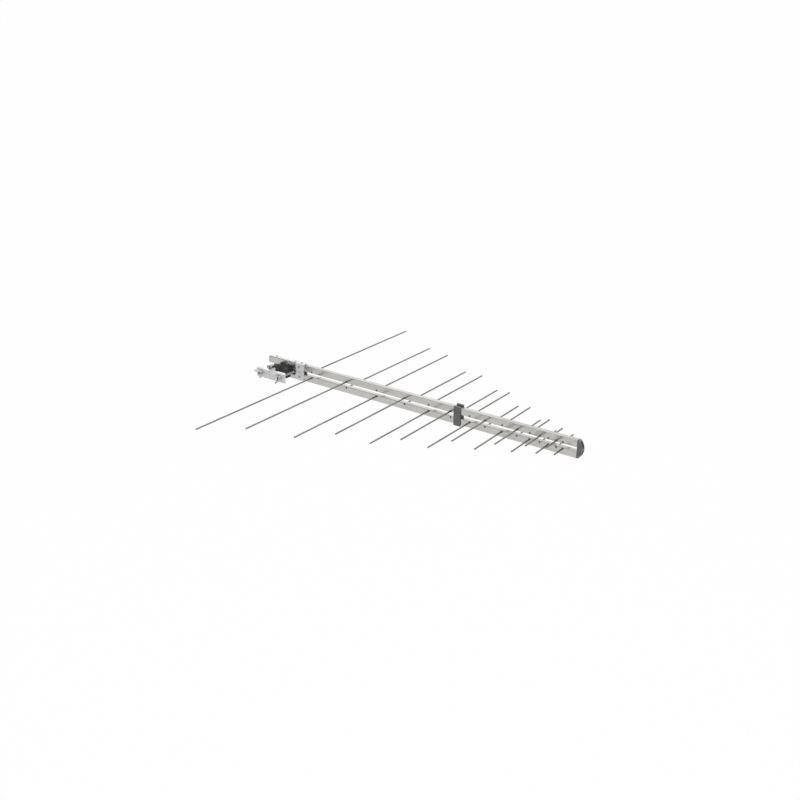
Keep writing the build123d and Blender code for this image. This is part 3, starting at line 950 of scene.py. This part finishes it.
@dataclass(frozen=True)
class PanScrew:
    """A pan head screw with a cross recess and a coarse thread."""

    head_radius: float = 0.0036
    head_height: float = 0.00235
    rim: float = 0.0006
    rim_round: float = 0.0002
    shank_radius: float = 0.0018
    root_share: float = 0.74
    pitch: float = 0.0013
    recess_reach: float = 0.0021
    recess_half_width: float = 0.00045
    recess_depth: float = 0.0015
    recess_taper: float = 0.6
    tool_height: float = 1.5
    segments: int = 40
    thread_segments: int = 20

    def head(self) -> Solid:
        """Make the head, with its recess.

        Returns:
            The head, standing on the local origin.
        """
        low = [(0, 0), (self.head_radius - self.rim_round, 0), (self.head_radius, self.rim_round)]
        rise = self.head_height - self.rim
        profile = [*low, *dome(self.head_radius, rise, self.rim)]
        reach, half = self.recess_reach, self.recess_half_width
        quarter = [(reach, -half), (reach, half), (half, half)]
        cross = []
        for turn in range(4):
            angle = math.pi / 2 * turn
            cosine, sine = math.cos(angle), math.sin(angle)
            cross += [(cosine * x - sine * y, sine * x + cosine * y) for x, y in quarter]
        bottom = self.head_height - self.recess_depth
        top = self.head_height * self.tool_height
        tool = extruded(cross, bottom, top, self.recess_taper)
        return cut_with(revolved(profile, self.segments), tool, "DIFFERENCE")

    def drive(
        self, workshop: Workshop, node: str, name: str, seats: list[Matrix], length: float
    ) -> None:
        """Build the screws of a node, one on each seat.

        Args:
            workshop: Workshop that dresses them.
            node: Name of the node.
            name: Name of the new piece.
            seats: Matrix of each seat. The head stands along local Z.
            length: Length under the head.
        """
        root = self.shank_radius * self.root_share
        thread = Thread(self.shank_radius, root, self.pitch, self.thread_segments)
        solids = []
        for seat in seats:
            solids.append(stood(self.head(), seat))
            solids.append(stood(thread.mesh(-length, self.rim / 2), seat))
        workshop.piece(solids, node, name, Slot.FASTENER)


@dataclass(frozen=True)
class CarriageBolt:
    """A bolt with a domed head, a square neck and a threaded end."""

    radius: float = 0.003
    head_radius: float = 0.0068
    head_rim: float = 0.0005
    neck_length: float = 0.0036
    neck_round: float = 0.0007
    thread_length: float = 0.060
    thread_pitch: float = 0.001
    thread_depth: float = 0.00058
    dome_steps: int = 12
    segments: int = 40

    def solids(self, seat: Matrix, head_height: float, length: float) -> list[Solid]:
        """Make the bolt.

        Args:
            seat: Matrix of the sheet's face under the head. The shank runs along local Z.
            head_height: Height of the head.
            length: Length under the head.

        Returns:
            The head with the plain shank, the neck and the thread.
        """
        start = length - self.thread_length
        crown = dome(self.head_radius, head_height - self.head_rim, self.head_rim, self.dome_steps)
        head = [(radius, -height) for radius, height in reversed(crown)]
        plain = [(self.head_radius, 0), (self.radius, 0), (self.radius, start), (0, start)]
        half, cut = self.radius, self.neck_round
        octagon = [(half, half - cut), (half - cut, half), (cut - half, half), (-half, half - cut)]
        octagon += [(-x, -y) for x, y in octagon]
        minor = self.radius - self.thread_depth
        thread = Thread(self.radius, minor, self.thread_pitch, self.segments)
        shank = revolved([*head, *plain], self.segments)
        neck = extruded(octagon, 0, self.neck_length)
        cut_end = thread.mesh(start - self.thread_pitch, length)
        return [stood(solid, seat) for solid in (shank, neck, cut_end)]


@dataclass(frozen=True)
class WingNut:
    """A cast wing nut: a round hub that flows into two wings."""

    bore: float = 0.0031
    hub: tuple[Pair, ...] = (
        (0.0060, 0.0),
        (0.0062, 0.0003),
        (0.0062, 0.0024),
        (0.0050, 0.0072),
        (0.0043, 0.0080),
    )
    wing: tuple[Pair, ...] = (
        (0.0034, 0.0021),
        (0.0062, 0.0033),
        (0.0094, 0.0063),
        (0.0125, 0.0099),
        (0.0143, 0.0134),
        (0.0140, 0.0161),
        (0.0120, 0.0169),
        (0.0095, 0.0150),
        (0.0071, 0.0112),
        (0.0034, 0.0076),
    )
    half_thickness: float = 0.0015
    voxel: float = 0.00022
    melt_factor: float = 0.5
    melt_rounds: int = 9
    segments: int = 48

    def outline(self, side: int, steps: int = 5) -> Outline:
        """Draw the smooth outline of a wing.

        Args:
            side: 1 or -1, the side of the hub.
            steps: Steps between two of its points.

        Returns:
            The points of the outline.
        """
        count = len(self.wing)
        points = []
        for index in range(count):
            corners = (Vector(self.wing[(index + k) % count]) for k in (-1, 0, 1, 2))
            before, start, end, after = corners
            for step in range(steps):
                t = step / steps
                swing = (end - before) * t + (2 * before - 5 * start + 4 * end - after) * t**2
                point = start + (swing + (3 * start - before - 3 * end + after) * t**3) / 2
                points.append((side * point.x, point.y))
        return points

    def solid(self, seat: Matrix) -> Solid:
        """Make the nut.

        Args:
            seat: Matrix of its base. The hub stands along local Z and the wings along local X.

        Returns:
            The nut.
        """
        top = self.hub[-1][1]
        half = self.half_thickness
        upright = Matrix.Rotation(math.pi / 2, 4, "X")
        body = revolved([(self.bore, 0), *self.hub, (self.bore, top)], self.segments, True)
        wings = [stood(extruded(self.outline(side), -half, half), upright) for side in (1, -1)]
        steps = [
            ("REMESH", {"mode": "VOXEL", "voxel_size": self.voxel}),
            ("SMOOTH", {"factor": self.melt_factor, "iterations": self.melt_rounds}),
        ]
        return stood(modified(merged([body, *wings]), steps), seat)


@dataclass(frozen=True)
class PlainWasher:
    """A stamped washer, rounded on one face and sharp on the other."""

    outer: float = 0.0062
    inner: float = 0.0033
    thickness: float = 0.0016
    rounding: float = 0.0003
    segments: int = 48

    def solid(self, seat: Matrix) -> Solid:
        """Make the washer.

        Args:
            seat: Matrix of the face that it lies on.

        Returns:
            The washer.
        """
        half = self.rounding / 2
        profile = [
            (self.inner, 0),
            (self.outer, 0),
            (self.outer, self.thickness - self.rounding),
            (self.outer - half / 2, self.thickness - half),
            (self.outer - self.rounding, self.thickness),
            (self.inner + self.rounding, self.thickness),
            (self.inner + half / 2, self.thickness - half),
            (self.inner, self.thickness - self.rounding),
        ]
        return stood(revolved(profile, self.segments, True), seat)


@dataclass
class BoomPair:
    """The two extruded booms."""

    workshop: Workshop
    nodes: tuple[str, str] = ("boom_upper", "boom_lower")

    def build(self) -> None:
        """Dress both booms."""
        for node in self.nodes:
            self.workshop.dress(node, Slot.BOOM)


@dataclass
class RodArray:
    """The thirty half rods, each pressed through a boom and riveted over."""

    workshop: Workshop
    count: int = 15
    radius: float = 0.002
    head_radius: float = 0.003
    head_height: float = 0.0011
    head_rim: float = 0.00015
    collar_radius: float = 0.003
    collar_length: float = 0.001
    collar_round: float = 0.00018
    foot: float = 0.0006
    tip_round: float = 0.00035
    tip_chord: float = 0.29
    tip_hollow: float = 0.00008
    segments: int = 28

    def profile(self, boom_width: float, length: float) -> Outline:
        """Draw half of a rod's outline.

        Args:
            boom_width: Width of the boom that it passes through.
            length: Length from the far face of the boom to the tip.

        Returns:
            Radius and height of each corner, from the rivet head to the tip.
        """
        crown = dome(self.head_radius, self.head_height - self.head_rim, self.head_rim)
        head = [(radius, -height) for radius, height in reversed(crown)]
        top = boom_width + self.collar_length
        edge = self.collar_round
        collar = [
            (self.collar_radius - edge, boom_width),
            (self.collar_radius, boom_width + edge),
            (self.collar_radius, top - edge),
            (self.collar_radius - edge, top),
            (self.radius + edge, top + edge / 2),
            (self.radius + edge / 3, top + self.foot / 2),
            (self.radius, top + self.foot),
        ]
        chord = self.tip_round * self.tip_chord
        tip = [
            (self.radius, length - self.tip_round),
            (self.radius - chord, length - chord),
            (self.radius - self.tip_round, length),
            (self.radius / 2, length - self.tip_hollow / 2),
            (0, length - self.tip_hollow),
        ]
        shank = [(self.head_radius, 0), (self.radius, 0), (self.radius, boom_width)]
        return [*head, *shank, *collar, *tip]

    def build(self) -> None:
        """Build every half rod in the place of its node."""
        near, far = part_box("boom_upper")
        for number in range(1, self.count + 1):
            for half, direction in (("front", Direction.FRONT), ("rear", Direction.REAR)):
                node = f"rod_{number:02d}_{half}"
                low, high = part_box(node)
                middle = (low + high) / 2
                root = far.y if direction is Direction.FRONT else near.y
                length = root - low.y if direction is Direction.FRONT else high.y - root
                seat = placed(Vector((middle.x, root, middle.z)), direction)
                rod = revolved(self.profile(far.y - near.y, length), self.segments)
                self.workshop.piece([stood(rod, seat)], node, f"{node}_drawn", Slot.ROD)


@dataclass
class NoseEnd:
    """The moulded nose cap with a pocket over each boom, and the feed link and rivet behind it."""

    workshop: Workshop
    straight: float = 0.004
    edge_round: float = 0.0009
    arc_steps: int = 20
    pocket_floor: float = 0.0046
    pocket_inset: float = 0.0022
    pocket_round: float = 0.0013
    pocket_rise: float = 0.0031
    pocket_web: float = 0.0022
    pocket_taper: float = 0.94
    prong_length: float = 0.014
    prong_gap: float = 0.0013
    prong_height: float = 0.0085
    sharp: float = 40.0

    def build(self) -> None:
        """Build the cap and dress the feed parts."""
        self.build_cap()
        self.workshop.dress("feed_link", Slot.BRASS)
        self.workshop.dress("feed_rivet", Slot.BRASS)

    def side_outline(self, half_height: float, reach: float) -> Outline:
        """Draw the cap seen from its side, straight at the booms and round at its face.

        Args:
            half_height: Half of the cap's height.
            reach: Length from the ends of the booms to the top of the curve.

        Returns:
            Length and height of each point.
        """
        rise = reach - self.straight
        radius = (half_height**2 + rise**2) / (2 * rise)
        swing = math.asin(half_height / radius)
        turns = [swing * (2 * step / self.arc_steps - 1) for step in range(self.arc_steps + 1)]
        back = reach - radius
        curve = [(back + radius * math.cos(turn), radius * math.sin(turn)) for turn in turns]
        return [(0, -half_height), *curve, (0, half_height)]

    def build_cap(self) -> None:
        """Build the cap, cut its pockets and add the prongs that hold it in the tubes."""
        low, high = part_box("nose_cap")
        boom_low, boom_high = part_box("boom_upper")
        middle = (low + high) / 2
        half_width, half_height = (high.y - low.y) / 2, (high.z - low.z) / 2
        seat = Vector((boom_high.x, middle.y, middle.z))
        reach = high.x - seat.x
        shell = extruded(self.side_outline(half_height, reach), -half_width, half_width)
        cap = softened(stood(shell, placed(seat, Direction.FRONT)), self.edge_round)
        top = half_height - self.pocket_rise
        pocket_half = (top - self.pocket_web) / 2
        opening = rounded_outline(half_width - self.pocket_inset, pocket_half, self.pocket_round)
        boom_middle = half_height - (boom_high.z - boom_low.z) / 2
        prongs = []
        for side in (1, -1):
            centre = seat + Vector((0, 0, side * (top + self.pocket_web) / 2))
            pocket = extruded(opening, self.pocket_floor, reach + self.straight, self.pocket_taper)
            cap = cut_with(cap, stood(pocket, placed(centre, Direction.NOSE)), "DIFFERENCE")
            start = centre.x - self.prong_length
            level = seat.z + side * boom_middle
            prong = block(
                Vector((start, boom_low.y + self.prong_gap, level - self.prong_height / 2)),
                Vector((seat.x, boom_high.y - self.prong_gap, level + self.prong_height / 2)),
            )
            prongs.append(softened(prong, self.edge_round / 2, 2))
        solids = [cap, *prongs]
        self.workshop.piece(
            solids, "nose_cap", "moulded_nose_cap", Slot.GREY_PLASTIC, sharp=self.sharp
        )


@dataclass
class MiddleSpacer:
    """The two plastic halves that hold the booms apart, and their screw."""

    workshop: Workshop
    screw: PanScrew = PanScrew(shank_radius=0.002)
    screw_length: float = 0.014
    plate: float = 0.003
    lip: float = 0.0025
    edge_round: float = 0.0007
    inner_round: float = 0.0002
    sharp: float = 40.0

    def build(self) -> None:
        """Build the halves and the screw."""
        self.build_half("spacer_front", 1)
        self.build_half("spacer_rear", -1)
        low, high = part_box("spacer_screw")
        middle = (low + high) / 2
        face = high.y - self.screw.head_height
        seats = [placed(Vector((middle.x, face, middle.z)), Direction.REAR)]
        self.screw.drive(
            self.workshop, "spacer_screw", "spacer_pan_screw", seats, self.screw_length
        )

    def build_half(self, node: str, inward: int) -> None:
        """Build a half: a plate with a lip over and under the booms, and a block between them,
        black as painted shade.

        Args:
            node: Node of the half.
            inward: 1 where the booms lie towards plus Y, and -1 where they lie towards minus Y.
        """
        low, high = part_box(node)
        upper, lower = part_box("boom_upper"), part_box("boom_lower")
        outer = low.y if inward > 0 else high.y
        levels = [outer, outer + inward * self.plate, outer + inward * (self.plate + self.lip)]
        plate_low, plate_high = sorted(levels[:2])
        plate = block(Vector((low.x, plate_low, low.z)), Vector((high.x, plate_high, high.z)))
        lip_low, lip_high = sorted((outer + inward * (self.plate - self.edge_round), levels[2]))
        solids = [softened(plate, self.edge_round)]
        for bottom, top in ((upper[1].z, high.z), (low.z, lower[0].z)):
            lip = block(Vector((low.x, lip_low, bottom)), Vector((high.x, lip_high, top)))
            solids.append(softened(lip, self.edge_round))
        self.workshop.piece(solids, node, f"{node}_plate", Slot.GREY_PLASTIC, sharp=self.sharp)
        # The block between the booms is black as painted shade. The gap between the booms lies in
        # shade, and the block belongs to the grey spacer half.
        tongue_low, tongue_high = sorted((levels[1], high.y if inward > 0 else low.y))
        painted_shade_tongue = block(
            Vector((low.x, tongue_low, lower[1].z)), Vector((high.x, tongue_high, upper[0].z))
        )
        solids = [softened(painted_shade_tongue, self.inner_round, 2)]
        self.workshop.piece(solids, node, f"{node}_tongue", Slot.BLACK_PLASTIC, sharp=self.sharp)


@dataclass
class RearClip:
    """The folded clip round both booms, the block between them and their screws."""

    workshop: Workshop
    screw: PanScrew = PanScrew()
    screw_length: float = 0.009
    front_turns: Pair = (12.0, 67.0)
    top_turn: float = 31.0
    boom_turn: float = 58.0

    def build(self) -> None:
        """Dress the clip and the block, and build the screws."""
        self.workshop.dress("rear_clip", Slot.SHEET)
        self.workshop.dress("rear_spacer", Slot.BLACK_PLASTIC)
        low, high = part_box("clip_screws")
        head, rise = self.screw.head_radius, self.screw.head_height
        upper_low, upper_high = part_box("boom_upper")
        levels = (((upper_low + upper_high) / 2).z, low.z + head)
        seats = [
            placed(Vector((low.x + head, low.y + rise, level)), Direction.FRONT, turn)
            for level, turn in zip(levels, self.front_turns)
        ]
        top_place = Vector((high.x - head, high.y - head, high.z - rise))
        seats.append(placed(top_place, Direction.UP, self.top_turn))
        self.screw.drive(self.workshop, "clip_screws", "clip_pan_screws", seats, self.screw_length)
        low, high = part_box("boom_screw")
        middle = (low + high) / 2
        top_place = Vector((middle.x, middle.y, high.z - rise))
        seats = [placed(top_place, Direction.UP, self.boom_turn)]
        self.screw.drive(self.workshop, "boom_screw", "boom_pan_screw", seats, self.screw_length)


@dataclass
class MastClamp:
    """The bracket, saddle, jaw, bolts and wing nuts that grip the mast."""

    workshop: Workshop
    screw: PanScrew = PanScrew()
    saddle_screw: PanScrew = PanScrew(shank_radius=0.002)
    screw_length: float = 0.009
    saddle_screw_length: float = 0.021
    bolt: CarriageBolt = CarriageBolt()
    nut: WingNut = WingNut()
    washer: PlainWasher = PlainWasher()
    bracket_turns: Pair = (20.0, 75.0)
    saddle_turn: float = 40.0
    left_wing_angle: float = -43.0
    right_wing_angle: float = 80.0
    nut_sharp: float = 60.0

    def build(self) -> None:
        """Dress the bracket, saddle and jaw, and build the fasteners."""
        self.workshop.dress("clamp_bracket", Slot.SHEET)
        self.workshop.dress("mast_saddle", Slot.BLACK_PLASTIC)
        self.workshop.dress("clamp_jaw", Slot.SHEET)
        self.build_screws()
        self.build_side("left", self.left_wing_angle, Body.LEFT_NUT)
        self.build_side("right", self.right_wing_angle, Body.RIGHT_NUT)

    def build_screws(self) -> None:
        """Build the screws of the bracket and of the saddle."""
        low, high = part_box("bracket_screws")
        head, rise = self.screw.head_radius, self.screw.head_height
        level = high.z - rise
        ends = zip((low.x + head, high.x - head), self.bracket_turns)
        seats = [placed(Vector((x, low.y + head, level)), Direction.UP, turn) for x, turn in ends]
        self.screw.drive(
            self.workshop, "bracket_screws", "bracket_pan_screws", seats, self.screw_length
        )
        low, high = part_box("saddle_screw")
        middle = (low + high) / 2
        place = Vector((middle.x, high.y - rise, middle.z))
        seats = [placed(place, Direction.REAR, self.saddle_turn)]
        length = self.saddle_screw_length
        self.saddle_screw.drive(self.workshop, "saddle_screw", "saddle_pan_screw", seats, length)

    def build_side(self, side: str, wing_angle: float, nut_body: Body) -> None:
        """Build the bolt, washer and wing nut of one side.

        Args:
            side: left or right.
            wing_angle: Angle of the wings above the X axis.
            nut_body: Body of the wing nut.
        """
        shop = self.workshop
        low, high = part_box(f"bolt_{side}")
        sheet_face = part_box("clamp_bracket")[1].y
        middle = (low + high) / 2
        seat = placed(Vector((middle.x, sheet_face, middle.z)), Direction.FRONT)
        solids = self.bolt.solids(seat, high.y - sheet_face, sheet_face - low.y)
        shop.piece(solids, f"bolt_{side}", f"carriage_bolt_{side}", Slot.FASTENER)
        washer_low, washer_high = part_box(f"washer_{side}")
        node, name = f"washer_{side}", f"stamped_washer_{side}"
        seat = placed(Vector((middle.x, washer_high.y, middle.z)), Direction.FRONT)
        shop.piece([self.washer.solid(seat)], node, name, Slot.FASTENER, Body.JAW)
        node, name = f"wing_nut_{side}", f"cast_wing_nut_{side}"
        seat = placed(Vector((middle.x, washer_low.y, middle.z)), Direction.FRONT, wing_angle)
        nut = self.nut.solid(seat)
        shop.piece([nut], node, name, Slot.FASTENER, nut_body, self.nut_sharp)


@dataclass
class TailEnd:
    """The plug of the upper boom, and the socket and cable of the lower one."""

    workshop: Workshop
    flange: float = 0.002
    flange_round: float = 0.0008
    nut_flats: float = 0.011
    nut_length: float = 0.003
    nut_corners: int = 6
    chamfer_share: float = 0.6
    chamfer_reach: float = 0.98
    barrel_radius: float = 0.00476
    barrel_pitch: float = 0.000794
    barrel_depth: float = 0.00045
    bore_radius: float = 0.0034
    bore_depth: float = 0.0006
    contact_radius: float = 0.0008
    contact_mouth: float = 0.00128
    contact_depth: float = 0.006
    segments: int = 48

    def build(self) -> None:
        """Dress the plug and the cable, and build the socket."""
        self.workshop.dress("tail_plug", Slot.BLACK_PLASTIC)
        self.workshop.dress("feed_cable", Slot.SHEATH)
        low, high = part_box("tail_socket")
        middle = (low + high) / 2
        boom_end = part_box("boom_lower")[0].x
        seat = placed(Vector((boom_end, middle.y, middle.z)), Direction.TAIL)
        length = boom_end - low.x
        self.build_flange(seat, (high.y - low.y) / 2, (high.z - low.z) / 2)
        self.build_barrel(seat, length)
        self.build_insert(seat, length)

    def build_flange(self, seat: Matrix, half_width: float, half_height: float) -> None:
        """Build the moulded flange that closes the boom.

        Args:
            seat: Matrix of the boom's end.
            half_width: Half of the boom's width.
            half_height: Half of the boom's height.
        """
        outline = rounded_outline(half_width, half_height, self.flange_round)
        plate = stood(extruded(outline, 0, self.flange), seat)
        self.workshop.piece([plate], "tail_socket", "socket_flange", Slot.BLACK_PLASTIC)

    def build_barrel(self, seat: Matrix, length: float) -> None:
        """Build the hexagon nut and the threaded barrel.

        Args:
            seat: Matrix of the boom's end.
            length: Length of the socket from the boom's end.
        """
        reach = self.nut_flats / 2 / math.cos(math.pi / self.nut_corners)
        turn = 360 / self.nut_corners
        angles = [math.radians(turn * corner) for corner in range(self.nut_corners)]
        hexagon = [(reach * math.cos(angle), reach * math.sin(angle)) for angle in angles]
        root = self.flange + self.nut_length
        chamfer = (reach - self.nut_flats / 2) * self.chamfer_share
        round_tool = [
            (0, self.flange),
            (reach, self.flange),
            (reach, root - chamfer),
            (self.nut_flats / 2 * self.chamfer_reach, root),
            (0, root),
        ]
        prism = extruded(hexagon, self.flange, root)
        nut = cut_with(prism, revolved(round_tool, self.segments), "INTERSECT")
        minor = self.barrel_radius - self.barrel_depth
        thread = Thread(self.barrel_radius, minor, self.barrel_pitch, self.segments)
        barrel = thread.mesh(self.flange, length, self.bore_radius, self.bore_depth)
        solids = [stood(nut, seat), stood(barrel, seat)]
        self.workshop.piece(solids, "tail_socket", "socket_barrel", Slot.SOCKET)

    def build_insert(self, seat: Matrix, length: float) -> None:
        """Build the white insulator round the contact.

        Args:
            seat: Matrix of the boom's end.
            length: Length of the socket from the boom's end.
        """
        face = length - self.bore_depth / 3
        floor = length - self.bore_depth
        hole = length - self.contact_depth
        profile = [
            (self.contact_radius, hole),
            (self.bore_radius, floor),
            (self.bore_radius, face),
            (self.contact_mouth, face),
            (self.contact_radius, face - self.contact_radius / 2),
        ]
        insulator = stood(revolved(profile, self.segments, True), seat)
        self.workshop.piece([insulator], "tail_socket", "socket_insulator", Slot.SHEATH)


@dataclass(frozen=True)
class Softbox:
    """A square lamp with soft edges to its light."""

    name: str
    place: Point
    size: float
    power: float

    def hang(self, target: Vector) -> None:
        """Hang the lamp and point it at the antenna.

        Args:
            target: Where it points.
        """
        lamp = bpy.data.lights.new(self.name, "AREA")
        lamp.size = self.size
        lamp.energy = self.power
        holder = bpy.data.objects.new(self.name, lamp)
        holder.location = self.place
        holder.rotation_euler = (target - Vector(self.place)).to_track_quat("-Z", "Y").to_euler()
        bpy.context.scene.collection.objects.link(holder)


@dataclass
class Studio:
    """The pale floor, the soft light and the camera."""

    azimuth: float = 35.51
    elevation: float = 22.26
    roll: float = 0.5
    distance: float = 2.6107
    aim: Point = (0.4172, 0.0051, 0.0196)
    lens: float = 45.96
    sensor: float = 36.0
    clip_end: float = 1500.0
    floor_drop: float = 2.0
    floor_reach: float = 600.0
    floor_tone: Colour = (0.86, 0.86, 0.855)
    floor_glow: float = 0.985
    sky_tone: Colour = (1.0, 1.0, 1.0)
    front_tone: Colour = (0.20, 0.20, 0.205)
    overhead_tone: Colour = (0.55, 0.55, 0.55)
    above_band: Pair = (0.03, 0.30)
    overhead_band: Pair = (0.75, 0.95)
    front_band: Pair = (0.35, -0.25)
    lamps: tuple[Softbox, ...] = (
        Softbox("overhead_softbox", (0.55, 0.55, 2.3), 3.6, 39.0),
        Softbox("rear_softbox", (-1.9, 2.2, 1.2), 2.4, 4.5),
        Softbox("nose_softbox", (2.9, 0.1, 0.5), 1.2, 7.0),
        Softbox("front_softbox", (1.7, -2.6, 0.6), 1.6, 16.0),
    )

    def build(self) -> None:
        """Build the floor, the sky, the lamps and the camera."""
        self.build_floor()
        self.build_sky()
        for lamp in self.lamps:
            lamp.hang(Vector(self.aim))
        self.build_camera()
        bpy.context.scene.view_settings.view_transform = "Standard"

    def build_floor(self) -> None:
        """Build the floor, which looks white and still takes a shadow."""
        plane = bmesh.new()
        bmesh.ops.create_grid(plane, x_segments=2, y_segments=2, size=self.floor_reach)
        mesh = bpy.data.meshes.new("studio_floor")
        plane.to_mesh(mesh)
        plane.free()
        floor = bpy.data.objects.new("studio_floor", mesh)
        floor.location.z = -self.floor_drop
        bpy.context.scene.collection.objects.link(floor)
        material = bpy.data.materials.new("studio_floor")
        graph = Graph(material)
        rays = graph.node("LightPath").outputs
        seen = rays["Is Camera Ray"]
        for name in ("Is Glossy Ray", "Is Transmission Ray"):
            seen = graph.combine("MAXIMUM", seen, rays[name])
        share = graph.combine("MULTIPLY", seen, self.floor_glow)
        matt = graph.node("BsdfDiffuse", {"Color": (*self.floor_tone, 1.0)}).outputs["BSDF"]
        glow = graph.node("Emission").outputs["Emission"]
        blend = graph.node("MixShader", {"Fac": share, 1: matt, 2: glow})
        graph.node("OutputMaterial", {"Surface": blend.outputs["Shader"]})
        mesh.materials.append(material)
        LOG.info("built the studio floor")

    def build_sky(self) -> None:
        """Build the sky: white round the horizon and behind, and darker above the front."""
        world = bpy.data.worlds.new("studio_sky")
        bpy.context.scene.world = world
        graph = Graph(world)
        look = graph.node("TexCoord").outputs["Generated"]
        axes = graph.node("SeparateXYZ", {"Vector": look}).outputs
        above = graph.spread(axes["Z"], self.above_band)
        overhead = graph.spread(axes["Z"], self.overhead_band)
        front = graph.spread(axes["Y"], self.front_band)
        share = graph.combine("MULTIPLY", above, front)
        low = graph.tint(share, self.sky_tone, self.front_tone)
        full = graph.tint(overhead, low, self.overhead_tone)
        light = graph.node("Background", {"Color": full}).outputs["Background"]
        graph.node("OutputWorld", {"Surface": light})
        LOG.info("built the studio sky")

    def build_camera(self) -> None:
        """Place the camera at the photograph's angle."""
        angles = (self.azimuth, self.elevation, self.roll)
        turn, rise, tilt = (math.radians(angle) for angle in angles)
        flat = math.cos(rise)
        back = Vector((math.sin(turn) * flat, -math.cos(turn) * flat, math.sin(rise)))
        level = Vector((math.cos(turn), math.sin(turn), 0))
        upright = back.cross(level)
        right = level * math.cos(tilt) + upright * math.sin(tilt)
        up = back.cross(right)
        lens = bpy.data.cameras.new("photo_camera")
        lens.lens = self.lens
        lens.sensor_width = self.sensor
        lens.clip_end = self.clip_end
        camera = bpy.data.objects.new("photo_camera", lens)
        place = Matrix.Translation(Vector(self.aim) + back * self.distance)
        camera.matrix_world = place @ Matrix((right, up, back)).transposed().to_4x4()
        bpy.context.scene.collection.objects.link(camera)
        bpy.context.scene.camera = camera
        LOG.info("placed the camera")


def main() -> None:
    """Build every sub-assembly in order."""
    logging.basicConfig(level=logging.INFO, format="%(name)s: %(message)s")
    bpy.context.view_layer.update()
    workshop = Workshop()
    assemblies = (BoomPair, RodArray, NoseEnd, MiddleSpacer, RearClip, MastClamp, TailEnd)
    for assembly in assemblies:
        assembly(workshop).build()
        LOG.info("finished %s", assembly.__name__)
    Studio().build()


if __name__ == "__main__":
    main()
